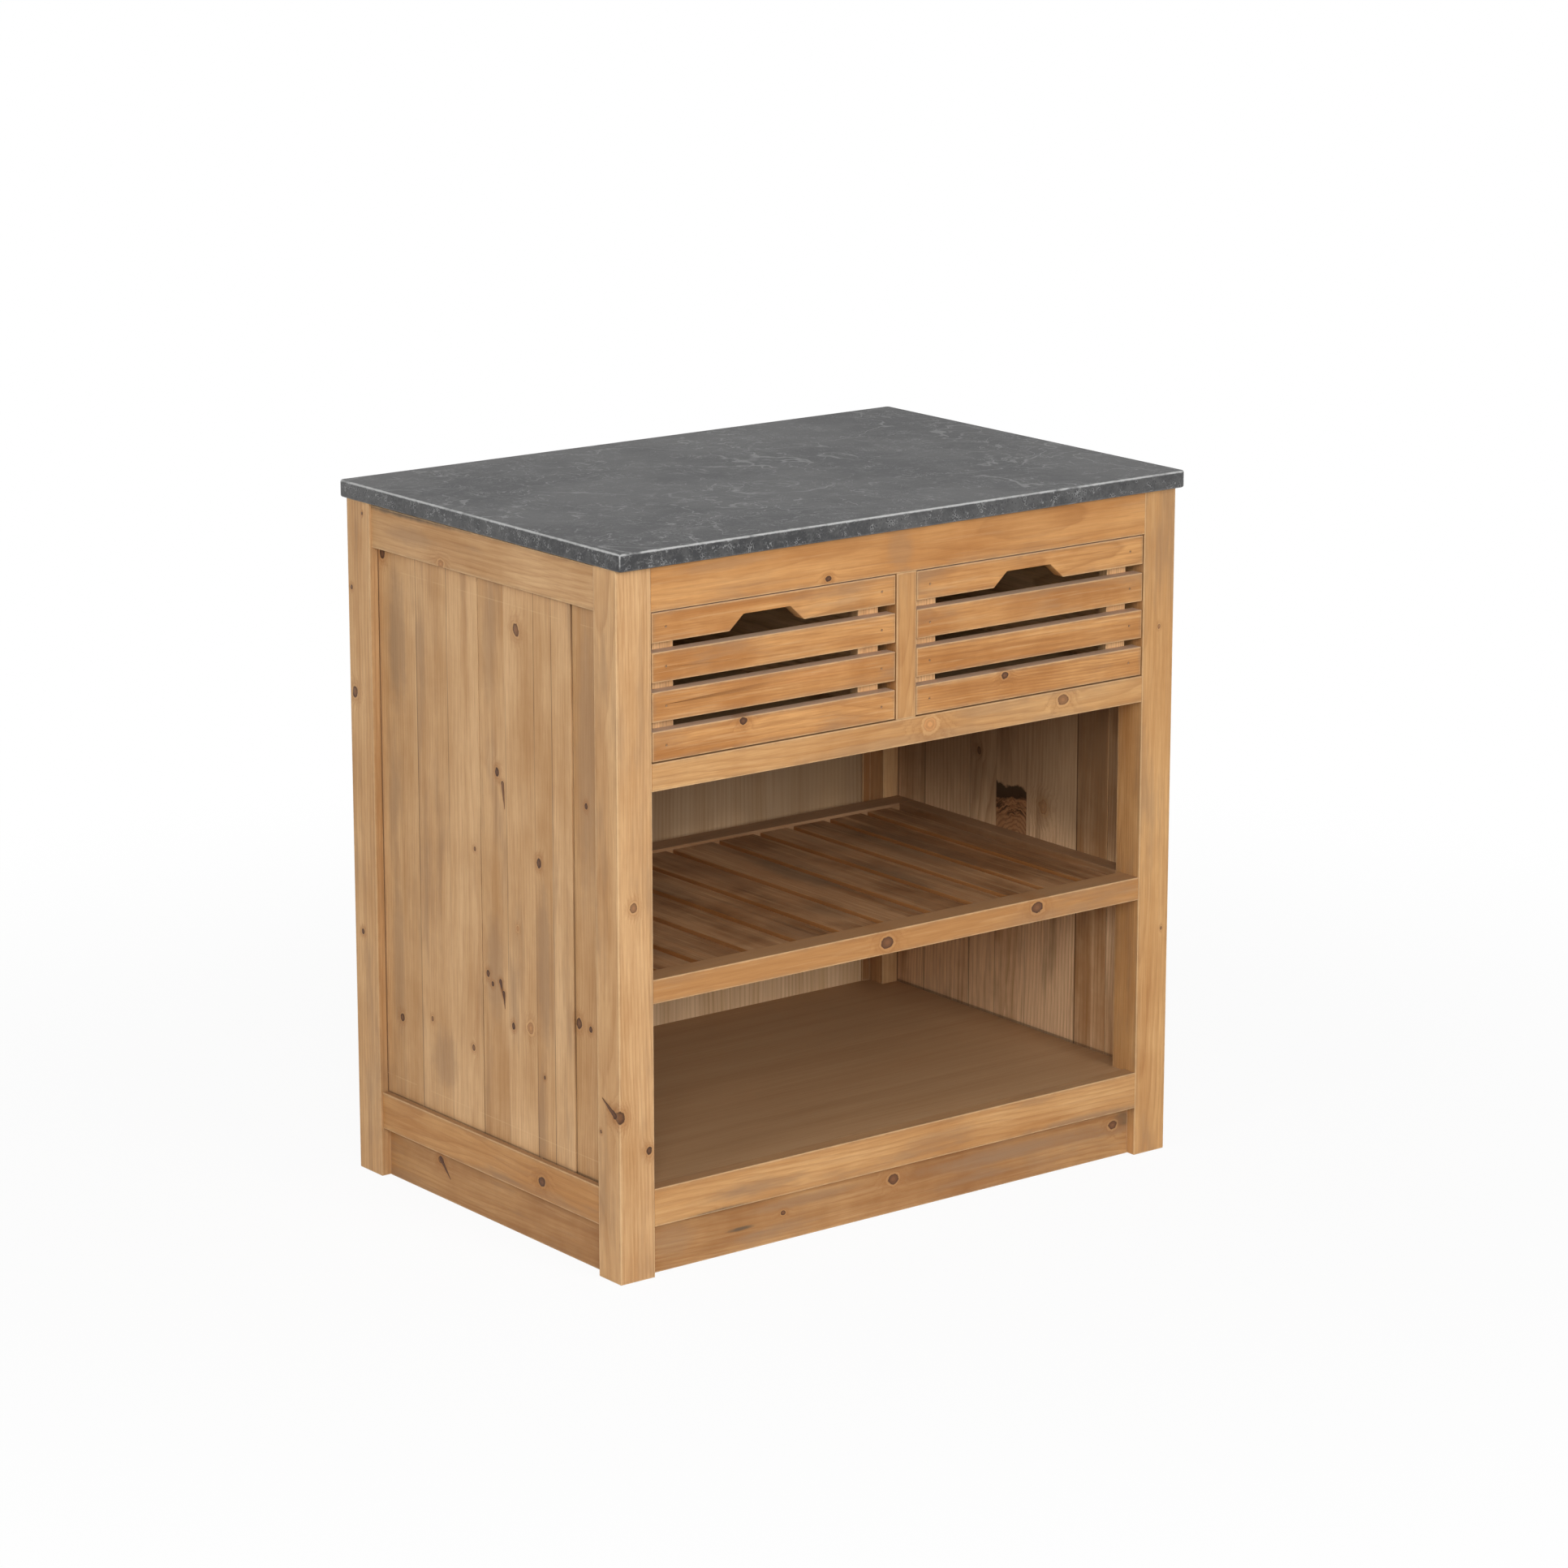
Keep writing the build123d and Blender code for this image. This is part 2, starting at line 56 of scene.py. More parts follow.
# The colour of the painted shade in the upper bay
bay_shade_brown = (0.135, 0.075, 0.035)
worn_pine = (0.74, 0.505, 0.270)
knot_heart = (0.155, 0.062, 0.030)
knot_rim = (0.050, 0.021, 0.010)
knot_pale = (0.64, 0.370, 0.160)
knot_amber = (0.47, 0.225, 0.085)
crooked_grain = (0.34, 0.140, 0.045)
bark = (0.028, 0.014, 0.007)
deck_tones = ((0.44, 0.270, 0.140), (0.395, 0.234, 0.117))
back_panel_tones = ((0.84, 0.605, 0.370), (0.70, 0.470, 0.255))
drawer_bottom_tones = ((0.76, 0.53, 0.29), (0.64, 0.41, 0.20))
nail_tones = ((0.36, 0.215, 0.110), (0.20, 0.105, 0.048))
stone_tones = ((0.029, 0.029, 0.030), (0.089, 0.088, 0.087))
mottle_grey = (0.112, 0.111, 0.109)
mottle_black = (0.031, 0.031, 0.034)
grit_grey = (0.23, 0.23, 0.225)
vein_grey = (0.38, 0.38, 0.375)
side_grey = (0.050, 0.050, 0.052)
pit_black = (0.028, 0.028, 0.030)
pit_rim_grey = (0.33, 0.33, 0.326)
# Pale chips and the painted highlight on the stone's arrises
chip_and_highlight_grey = (0.58, 0.58, 0.57)
floor_greys = ((0.85, 0.85, 0.85), (0.89, 0.89, 0.89))

# Softboxes: name, azimuth and elevation in degrees, distance and size in metres, and level,
# which is what the lamp adds to a white surface that faces it
softboxes = (
    ("key", -34, 23, 4.6, 1.9, 0.52),
    ("front", 4, 18, 4.6, 1.2, 0.42),
    ("left", -80, 20, 4.2, 2.0, 0.38),
    ("right", 80, 8, 4.4, 1.6, 0.24),
    ("back", -170, 8, 4.4, 1.6, 0.30),
)

# The floor: half its side, how much of its look is a white glow near the cabinet, and between
# which distances that share rises to 1. In metres.
floor_reach = 30
floor_glow = 0.93
floor_glow_rise = (0.7, 2.2)

# Shifts of the grain, in metres: from one seed to the next, and across a panel's strips
seed_shift = 1.618
strip_shift = 7.31

# The stone's veins, one row for each size: waves per metre, half width as a value of the noise,
# waves per metre of the mask, the mask's values where it starts and is full, and strength
vein_layers = (
    (6, 0.009, 4, 0.46, 0.58, 0.50),
    (22, 0.018, 15, 0.49, 0.60, 0.46),
    (64, 0.034, 26, 0.49, 0.62, 0.34),
    (130, 0.050, 44, 0.48, 0.62, 0.24),
)

# Marks on the side boards and the back panel, and where their painted shade of the upper bay lies,
# in mm
scribe_heights = (137, 797)
# Heights of the painted shade of the upper bay
board_shade_heights = (380, 500)  # where it starts and where it is full
panel_shade_heights = (340, 440)
open_joints = ((84, 0.85), (-134, 0.5), (180, 0.4))  # place along Y and strength
pocket_strip = (-32, 30)  # from and to along Y


class Shader:
    """Builds the nodes of one material. A value is a number, a colour, a vector or a socket."""

    def __init__(self, name):
        self.material = bpy.data.materials.new(name)
        self.material.use_nodes = True
        self.tree = self.material.node_tree
        self.tree.nodes.clear()
        coordinates = self.tree.nodes.new("ShaderNodeTexCoord")
        self.place = coordinates.outputs["Object"]
        self.normal = coordinates.outputs["Normal"]

    def put(self, socket, value):
        if isinstance(value, bpy.types.NodeSocket):
            self.tree.links.new(value, socket)
        elif socket.type == "RGBA" and len(value) == 3:
            socket.default_value = (*value, 1)
        else:
            socket.default_value = value

    def math(self, operation, a, b=0.0, c=0.0, clamp=False):
        node = self.tree.nodes.new("ShaderNodeMath")
        node.operation = operation
        node.use_clamp = clamp
        for socket, value in zip(node.inputs, (a, b, c)):
            self.put(socket, value)
        return node.outputs[0]

    def vector(self, operation, a, b=(0, 0, 0)):
        node = self.tree.nodes.new("ShaderNodeVectorMath")
        node.operation = operation
        self.put(node.inputs[0], a)
        self.put(node.inputs[1], b)
        gives_number = operation in ("LENGTH", "DOT_PRODUCT")
        return node.outputs["Value" if gives_number else "Vector"]

    def add(self, a, b):
        return self.math("ADD", a, b)

    def subtract(self, a, b):
        return self.math("SUBTRACT", a, b)

    def multiply(self, a, b):
        return self.math("MULTIPLY", a, b)

    def absolute(self, value):
        return self.math("ABSOLUTE", value)

    def clamp(self, value):
        """The value, kept between 0 and 1."""
        return self.math("MULTIPLY", value, 1.0, clamp=True)

    def linear(self, value, factor, offset):
        """value * factor + offset"""
        return self.math("MULTIPLY_ADD", value, factor, offset)

    def both(self, first, second):
        """1 where both masks are 1."""
        return self.multiply(first, second)

    def swing(self, value, width):
        """Turns a noise from 0 to 1 into one from -width / 2 to width / 2."""
        return self.linear(value, width, -0.5 * width)

    def split(self, vector):
        node = self.tree.nodes.new("ShaderNodeSeparateXYZ")
        self.put(node.inputs[0], vector)
        return tuple(node.outputs)

    def coordinate(self, axis):
        """The place along one axis."""
        return self.split(self.place)["xyz".index(axis)]

    def join(self, x, y, z):
        node = self.tree.nodes.new("ShaderNodeCombineXYZ")
        for socket, value in zip(node.inputs, (x, y, z)):
            self.put(socket, value)
        return node.outputs[0]

    def scaled(self, vector, scale):
        """The vector times scale, which is one number or a number for each axis."""
        if not isinstance(scale, tuple):
            scale = (scale, scale, scale)
        return self.vector("MULTIPLY", vector, scale)

    def noise(self, vector, waves, detail=2.0, roughness=0.5):
        """A grey noise from 0 to 1. waves is per metre, for all axes or for each one."""
        node = self.tree.nodes.new("ShaderNodeTexNoise")
        self.put(node.inputs["Vector"], self.scaled(vector, waves))
        node.inputs["Scale"].default_value = 1
        node.inputs["Detail"].default_value = detail
        node.inputs["Roughness"].default_value = roughness
        return node.outputs[0]

    def cells(self, vector, per_metre):
        """The distance to the nearest of many scattered points, in cell widths."""
        node = self.tree.nodes.new("ShaderNodeTexVoronoi")
        self.put(node.inputs["Vector"], self.scaled(vector, per_metre))
        node.inputs["Scale"].default_value = 1
        return node.outputs["Distance"]

    def ramp(self, value, *stops, constant=False):
        """A grey curve through (position, level) stops."""
        node = self.tree.nodes.new("ShaderNodeValToRGB")
        node.color_ramp.interpolation = "CONSTANT" if constant else "LINEAR"
        elements = node.color_ramp.elements
        while len(elements) < len(stops):
            elements.new(1)
        for element, (position, level) in zip(elements, sorted(stops)):
            element.position = position
            element.color = (level, level, level, 1)
        self.put(node.inputs[0], value)
        return node.outputs[0]

    def step(self, value, low, high):
        """0 below low, 1 above high, smooth between. low may be the larger."""
        node = self.tree.nodes.new("ShaderNodeMapRange")
        node.interpolation_type = "SMOOTHSTEP"
        self.put(node.inputs["Value"], value)
        node.inputs["From Min"].default_value = min(low, high)
        node.inputs["From Max"].default_value = max(low, high)
        node.inputs["To Min"].default_value = 0 if low < high else 1
        node.inputs["To Max"].default_value = 1 if low < high else 0
        return node.outputs[0]

    def line(self, axis, position, outer, inner):
        """1 within inner of a position along the axis, 0 beyond outer. In metres."""
        away = self.absolute(self.subtract(self.coordinate(axis), position))
        return self.step(away, outer, inner)

    def mix(self, factor, a, b):
        """Colour a where the factor is 0 and colour b where it is 1."""
        node = self.tree.nodes.new("ShaderNodeMix")
        node.data_type = "RGBA"
        # A mix node has inputs and outputs for every data type. These are the colours'.
        factor_input, first_input, second_input, result = 0, 6, 7, 2
        self.put(node.inputs[factor_input], factor)
        self.put(node.inputs[first_input], a)
        self.put(node.inputs[second_input], b)
        return node.outputs[result]

    def paint(self, colour, mask, strength, new_colour):
        """Lays new_colour over the colour where the mask is 1, as thick as strength."""
        return self.mix(self.multiply(mask, strength), colour, new_colour)

    def bump(self, height, depth, strength=1.0):
        node = self.tree.nodes.new("ShaderNodeBump")
        node.inputs["Strength"].default_value = strength
        node.inputs["Distance"].default_value = depth
        self.put(node.inputs["Height"], height)
        return node.outputs[0]

    def finish(self, colour, roughness, normal, specular=0.35, metallic=0.0):
        surface = self.tree.nodes.new("ShaderNodeBsdfPrincipled")
        self.put(surface.inputs["Base Color"], colour)
        self.put(surface.inputs["Roughness"], roughness)
        self.put(surface.inputs["Normal"], normal)
        surface.inputs["Specular IOR Level"].default_value = specular
        surface.inputs["Metallic"].default_value = metallic
        output = self.tree.nodes.new("ShaderNodeOutputMaterial")
        self.tree.links.new(surface.outputs[0], output.inputs["Surface"])
        return self.material


def edge_distance(shader, low, high):
    """How far a point on a box's surface lies from the box's nearest edge: the middle one of its
    three distances from the box's planes."""
    near = shader.vector("SUBTRACT", shader.place, tuple(low))
    far = shader.vector("SUBTRACT", tuple(high), shader.place)
    x, y, z = shader.split(shader.vector("MINIMUM", near, far))
    total = shader.add(shader.add(x, y), z)
    lowest = shader.math("MINIMUM", shader.math("MINIMUM", x, y), z)
    highest = shader.math("MAXIMUM", shader.math("MAXIMUM", x, y), z)
    return shader.subtract(shader.subtract(total, lowest), highest)


class Knot:
    """A knot that goes through a piece. place is on the face, in mm, and depth_axis is the axis
    across that face. dark is 0 for a pale ring knot and 1 for a dead, black one. reach is how
    many times its radius the knot goes into the piece."""

    along_weight = 0.80  # below 1, so that the knot is longer along the grain

    def __init__(self, place, depth_axis, radius, dark, reach=8.0):
        self.place = place
        self.depth_axis = depth_axis
        self.radius = radius
        self.dark = dark
        self.reach = reach

    def distance(self, shader, grain):
        """The distance from the knot's middle, in its radii."""
        weights = {"x": 1.0, "y": 1.0, "z": 1.0}
        weights[grain] = self.along_weight
        weights[self.depth_axis] = 1 / self.reach
        centre = tuple(value * mm for value in self.place)
        offset = shader.vector("SUBTRACT", shader.place, centre)
        radii = tuple(weights[axis] / (self.radius * mm) for axis in "xyz")
        return shader.vector("LENGTH", shader.vector("MULTIPLY", offset, radii))


class Streak:
    """A dark resin streak from start to end. radius is its half width at the start, in mm."""

    taper = 0.85  # the share of its width that is gone at the end

    def __init__(self, start, end, radius, dark=0.9):
        self.start = Vector(start) * mm
        self.end = Vector(end) * mm
        self.radius = radius
        self.dark = dark

    def distance(self, shader, grain):
        """The distance from the streak's middle line, in its half widths there."""
        way = self.end - self.start
        offset = shader.vector("SUBTRACT", shader.place, tuple(self.start))
        share = shader.vector("DOT_PRODUCT", offset, tuple(way / way.length_squared))
        share = shader.clamp(share)
        nearest = shader.vector("MULTIPLY", shader.join(share, share, share), tuple(way))
        away = shader.vector("LENGTH", shader.vector("SUBTRACT", offset, nearest))
        width = shader.linear(share, -self.taper * self.radius * mm, self.radius * mm)
        return shader.math("DIVIDE", away, width)


class Stain:
    """A soft patch, drawn out along the grain. across, along and depth are half sizes in mm."""

    depth = 30

    def __init__(self, place, depth_axis, across, along, strength, colour=weathered):
        self.place = place
        self.depth_axis = depth_axis
        self.across = across
        self.along = along
        self.strength = strength
        self.colour = colour

    def mask(self, shader, grain, ragged):
        """The patch's strength at each point. ragged is a noise that frays its border."""
        sizes = {"x": self.across, "y": self.across, "z": self.across}
        sizes[grain] = self.along
        sizes[self.depth_axis] = self.depth
        centre = tuple(value * mm for value in self.place)
        offset = shader.vector("SUBTRACT", shader.place, centre)
        shares = tuple(1 / (sizes[axis] * mm) for axis in "xyz")
        distance = shader.vector("LENGTH", shader.vector("MULTIPLY", offset, shares))
        distance = shader.add(distance, ragged)
        return shader.multiply(shader.step(distance, 1.15, 0.40), self.strength)


class Face:
    """A plane of the cabinet that marks lie on: its axis, and its level along that axis in mm. A
    place on it is given by the two other coordinates, in mm, in the order of the axes."""

    def __init__(self, axis, level):
        self.axis = axis
        self.level = level

    def place(self, first, second):
        coordinates = [first, second]
        coordinates.insert("xyz".index(self.axis), self.level)
        return tuple(coordinates)

    def knots(self, *rows):
        """From rows of the place's two coordinates, radius, dark and, for a shallow knot, reach."""
        return [Knot(self.place(a, b), self.axis, *looks) for a, b, *looks in rows]

    def streaks(self, *rows):
        """From rows of start, end, radius and dark."""
        return [Streak(self.place(*start), self.place(*end), *looks) for start, end, *looks in rows]

    def stains(self, *rows):
        """From rows of the place's two coordinates, half width, half length, strength, colour."""
        return [Stain(self.place(a, b), self.axis, *looks) for a, b, *looks in rows]


def measure_knots(s, marks, grain_axis):
    """(distance in radii, dark) of knots and streaks, and how far knots push the rings aside."""
    irregular = s.linear(s.noise(s.place, 110, 3, 0.6), 0.9, 0.55)
    measured = []
    swell = 0.0
    for mark in marks:
        distance = s.multiply(mark.distance(s, grain_axis), irregular)
        measured.append((distance, mark.dark))
        if isinstance(mark, Knot):
            push = s.multiply(s.step(distance, 4.2, 0.7), mark.radius * 1.1 * mm)
            swell = s.add(swell, push)
    return measured, swell


def heart_tone(dark):
    """Amber for a pale knot's heart, brown for a usual one and nearly black for a dead one."""
    share = min(1.0, 2.2 * dark)
    shade = 1 - 0.6 * dark
    return tuple(shade * (amber_part + share * (brown_part - amber_part))
                 for amber_part, brown_part in zip(knot_amber, knot_heart))


def paint_knots(s, colour, measured):
    """Lays halo, collar, heart and rim over the colour. Returns (colour, how deep the rims are)."""
    pit = 0.0
    for distance, dark in measured:
        rings = s.math("SINE", s.multiply(distance, 9.0))
        halo = s.step(distance, 3.4, 1.0)
        halo_lines = s.both(halo, s.step(rings, 0.1, 0.9))
        colour = s.paint(colour, halo, 0.20 + 0.25 * dark, latewood)
        colour = s.paint(colour, halo_lines, 0.12 + 0.2 * dark, latewood)
        collar = s.both(s.step(distance, 1.55, 1.3), s.step(distance, 0.9, 1.1))
        colour = s.paint(colour, collar, 0.5 * (1 - dark), knot_pale)
        core = s.step(distance, 1.08, 0.92)
        deep = heart_tone(dark)
        heart = s.mix(s.step(rings, -0.6, 0.8), deep, tuple(1.5 * value for value in deep))
        colour = s.paint(colour, core, 0.60 + 0.35 * dark, heart)
        rim = s.both(core, s.step(distance, 0.70 - 0.35 * dark, 0.95))
        colour = s.paint(colour, rim, min(0.9, 0.25 + 0.9 * dark), knot_rim)
        pit = s.add(pit, rim)
    return colour, pit


class Look:
    """How a pine piece looks. Strengths go from 0 to 1, and lengths are in mm."""

    pith = (30, 12)  # the log's middle, from the piece's middle, across the grain
    spacing = 4.2  # distance between growth rings
    rings = 0.55  # strength of the growth rings
    fine = 0.22  # strength of the fibres
    lines = 0.16  # strength of the hair lines
    bias = 0.0  # above 0 the piece is darker
    contrast = 1.0  # how far the tones spread
    patches = 0.5  # strength of the weathered patches
    # Beside the arrises this darkening is dirt, and at joints painted shade; along a window's
    # border it is painted shade of the recess as well as dirt
    grime = 0.35  # strength of the dirt beside the arrises
    wear = 0.4  # strength of the worn arrises
    top_grey = 0.0  # share of top_tone on faces that look up
    top_tone = weathered
    # The amber on sideways faces is fresher sawn wood, and painted light of the lit sides in the
    # slats' gaps
    side_amber = 0.0  # share of amber on faces that look to the left or right
    strips = None  # (axis, boundaries, tones) of a piece glued up from narrower strips
    strip_contrast = 0.8  # how far the strips' tones spread
    # The darkening along the window's border is painted shade of the recess, with dirt
    window = None  # the bare part's lowest and highest corner: dirt gathers along its border
    extra = None  # a function of (shader, colour) that adds one last layer

    def __init__(self, **changes):
        for name, value in changes.items():
            setattr(self, name, value)


class Grain:
    """The grain of one piece: its axis, the place along it, and noises that its layers share."""

    def __init__(self, s, name, axis, seed, strips):
        self.axis = axis
        self.low, self.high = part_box(name)
        middle = (self.low + self.high) / 2
        x, y, z = s.split(s.place)
        self.along, self.across, self.deep = {"x": (x, y, z), "y": (y, x, z), "z": (z, x, y)}[axis]
        self.across_middle, self.deep_middle = {
            "x": (middle.y, middle.z), "y": (middle.x, middle.z), "z": (middle.x, middle.y),
        }[axis]
        self.strip = strip_values(s, strips) if strips else 0.5
        shift = s.linear(self.strip, strip_shift, seed * seed_shift)
        along, across = s.add(self.along, shift), s.add(self.across, shift)
        self.place = s.join(along, across, self.deep)
        self.fibre = s.noise(self.place, (22, 520, 520), 3, 0.6)
        self.streak = s.noise(self.place, (2.4, 70, 70), 4, 0.62)
        self.uneven = s.noise(s.place, 55, 3, 0.6)


def growth_rings(s, grain, look, swell):
    """The dark latewood of the rings round a pith that wanders along the piece, from 0 to 1."""
    bend = s.swing(s.noise(grain.place, (2.2, 7, 7), 1), 26 * mm)
    ripple = s.swing(s.noise(grain.place, (14, 55, 55), 2), 3.0 * mm)
    pith_across, pith_deep = look.pith
    shift_by_strip, lean = -0.05, 0.022
    across = s.linear(grain.strip, shift_by_strip, grain.across)
    across = s.subtract(across, grain.across_middle + pith_across * mm)
    deep = s.linear(grain.along, lean, grain.deep)
    deep = s.subtract(deep, grain.deep_middle + pith_deep * mm)
    radius = s.vector("LENGTH", s.join(across, deep, 0.0))
    for push in (bend, ripple, swell):
        radius = s.add(radius, push)
    ring = s.math("FRACT", s.math("DIVIDE", radius, look.spacing * mm))
    late = s.ramp(ring, (0, 0.10), (0.35, 0.0), (0.78, 0.62), (0.92, 1), (1, 0.12))
    strength = s.math("MULTIPLY_ADD", s.noise(grain.place, (3, 14, 14), 2), 1.5, -0.15, clamp=True)
    return s.multiply(late, strength)


def pine_tone(s, grain, look, tones, late):
    """Wide clouds, bands and narrow streaks, with rings, fibres and hair lines over them."""
    band = s.noise(grain.place, (3.2, 24, 24), 2, 0.5)
    cloud = s.noise(s.place, 10, 4, 0.6)
    hair = s.noise(grain.place, (7, 210, 210), 3, 0.65)
    depth = 0.5 + look.bias
    for layer, amount in ((band, 1.6), (grain.streak, 0.9), (cloud, 1.3)):
        depth = s.add(depth, s.swing(layer, amount * look.contrast))
    if look.strips:
        depth = s.add(depth, s.swing(grain.strip, look.strip_contrast))
    pale, deepest = tones
    colour = s.mix(s.clamp(depth), pale, deepest)
    colour = s.paint(colour, late, look.rings, latewood)
    colour = s.paint(colour, s.step(grain.fibre, 0.60, 0.34), look.fine, latewood)
    colour = s.paint(colour, s.step(hair, 0.52, 0.66), look.lines, latewood)
    colour = s.paint(colour, s.step(hair, 0.46, 0.34), 0.6 * look.lines, worn_pine)
    return s.paint(colour, s.step(grain.streak, 0.58, 0.74), 0.22 * look.contrast, latewood)


def weather(s, colour, grain, look, piece_stains):
    """Weathered patches and the piece's stains, with streaky borders."""
    elsewhere = s.vector("ADD", grain.place, (3.7, 1.9, 8.3))
    patch = s.noise(elsewhere, (4.2, 20, 20), 4, 0.62)
    patch = s.add(patch, s.swing(grain.streak, 0.30))
    colour = s.paint(colour, s.step(patch, 0.50, 0.74), look.patches, weathered)
    ragged = s.add(grain.streak, s.linear(grain.uneven, 0.6, -0.8))
    for stain in piece_stains:
        colour = s.mix(stain.mask(s, grain.axis, ragged), colour, stain.colour)
    return colour


def soil(s, colour, grain, look):
    """Dirt and painted shade beside the arrises or along the bare part's border, with a thin line
    of painted shadow and dirt along that border, the look's own tones on faces that look up or
    sideways, the sideways amber partly painted light, and darker end grain."""
    nx, ny, nz = s.split(s.normal)
    if look.window:
        border = border_distance(s, *look.window)
    else:
        border = edge_distance(s, grain.low, grain.high)
    # Dirt, and painted shade in the recesses and joints: darker within a few mm of the arrises or
    # of the border
    dirt_and_shade_mask = s.step(s.linear(grain.uneven, 9 * mm, border), 11 * mm, 3 * mm)
    colour = s.paint(colour, dirt_and_shade_mask, look.grime, weathered)
    # A thin dark line along the border: painted shadow of the recess, with dirt
    if look.window:
        line = s.both(s.step(border, 2.2 * mm, 0.8 * mm), s.step(grain.uneven, 0.18, 0.42))
        colour = s.paint(colour, line, 0.5, bark)
    if look.top_grey:
        colour = s.paint(colour, s.step(nz, 0.6, 0.9), look.top_grey, look.top_tone)
    # Amber on faces that look sideways: fresher sawn wood, and painted light
    if look.side_amber:
        sideways = s.step(s.absolute(nx), 0.6, 0.9)
        colour = s.paint(colour, sideways, look.side_amber, amber)
    end = s.step(s.absolute({"x": nx, "y": ny, "z": nz}[grain.axis]), 0.7, 0.95)
    return s.paint(colour, end, 0.55, latewood)


def wear_arrises(s, colour, grain, strength):
    """Pale wood where the arrises are worn, uneven along their length."""
    edge = edge_distance(s, grain.low, grain.high)
    worn = s.step(s.linear(grain.uneven, -2.8 * mm, edge), 0.8 * mm, -0.8 * mm)
    return s.paint(colour, worn, strength, worn_pine)


def wood(name, axis, tones, seed, **changes):
    """Pine, cut from a log along the axis. changes are where its Look isn't the usual one."""
    look = Look(**changes)
    s = Shader(name)
    grain = Grain(s, name, axis, seed, look.strips)
    measured, swell = measure_knots(s, knots.get(name, ()), axis)
    late = growth_rings(s, grain, look, swell)
    colour = pine_tone(s, grain, look, tones, late)
    colour = weather(s, colour, grain, look, stains.get(name, ()))
    colour = soil(s, colour, grain, look)
    if look.wear:
        colour = wear_arrises(s, colour, grain, look.wear)
    colour, pit = paint_knots(s, colour, measured)
    if look.strips:
        joints = s.both(strip_lines(s, look.strips), s.step(grain.streak, 0.34, 0.62))
        colour = s.paint(colour, joints, 0.50, bark)
    if look.extra:
        colour = look.extra(s, colour)
    height = s.linear(grain.fibre, 0.55, s.multiply(late, 0.5))
    height = s.subtract(height, pit)
    roughness = s.linear(grain.fibre, 0.22, 0.48)
    return s.finish(colour, roughness, s.bump(height, 0.4 * mm, 0.8), specular=0.24)


def border_distance(s, low, high):
    """How far a point lies inside a window, which is open where a corner says None."""
    nearest = 1.0
    for position, start, end in zip(s.split(s.place), low, high):
        if start is not None:
            nearest = s.math("MINIMUM", nearest, s.subtract(position, start * mm))
        if end is not None:
            nearest = s.math("MINIMUM", nearest, s.subtract(end * mm, position))
    return nearest


def strip_values(s, strips):
    """A value from 0 to 1 for each strip of a glued-up panel."""
    axis, boundaries, tones = strips
    position = s.coordinate(axis)
    low, high = boundaries[0] * mm, boundaries[-1] * mm
    along_panel = s.math("DIVIDE", s.subtract(position, low), high - low)
    starts = [(start * mm - low) / (high - low) for start in boundaries[:-1]]
    return s.ramp(along_panel, *zip(starts, tones), constant=True)


def strip_lines(s, strips):
    """The thin glue lines between the strips."""
    axis, boundaries = strips[:2]
    lines = 0.0
    for boundary in boundaries[1:-1]:
        lines = s.math("MAXIMUM", lines, s.line(axis, boundary * mm, 1.3 * mm, 0.3 * mm))
    return lines


def scribe_lines(s, colour):
    """Two thin, pale lines that the saw or a scriber left across the left boards."""
    broken = s.step(s.noise(s.place, 30, 3), 0.38, 0.55)
    for height in scribe_heights:
        line = s.both(s.line("z", height * mm, 0.9 * mm, 0.3 * mm), broken)
        colour = s.paint(colour, line, 0.22, worn_pine)
    return colour


def painted_bay_shade(s, colour, start, full):
    """Painted shade of the upper bay: the wood gets darker between two heights, in mm."""
    height = s.linear(s.noise(s.place, (9, 9, 4), 3), 0.10, s.coordinate("z"))
    return s.paint(colour, s.step(height, start * mm, full * mm), 0.62, bay_shade_brown)


def panel_painted_shade(s, colour):
    """Painted shade on the front face of the back panel, darker towards the top."""
    forward = s.step(s.split(s.normal)[1], -0.3, -0.7)
    return s.mix(forward, colour, painted_bay_shade(s, colour, *panel_shade_heights))


def inner_boards(s, colour):
    """The right boards: painted shade of the upper bay, joints and bark pocket on the inner face, a
    browner outer face.
    """
    outside = s.mix(0.50, colour, board_tones[1])
    colour = painted_bay_shade(s, colour, *board_shade_heights)
    for joint, strength in open_joints:
        colour = s.paint(colour, s.line("y", joint * mm, 1.6 * mm, 0.5 * mm), strength, bark)
    inward = s.step(s.split(s.normal)[0], -0.3, -0.7)
    return s.mix(inward, outside, bark_pocket(s, colour))


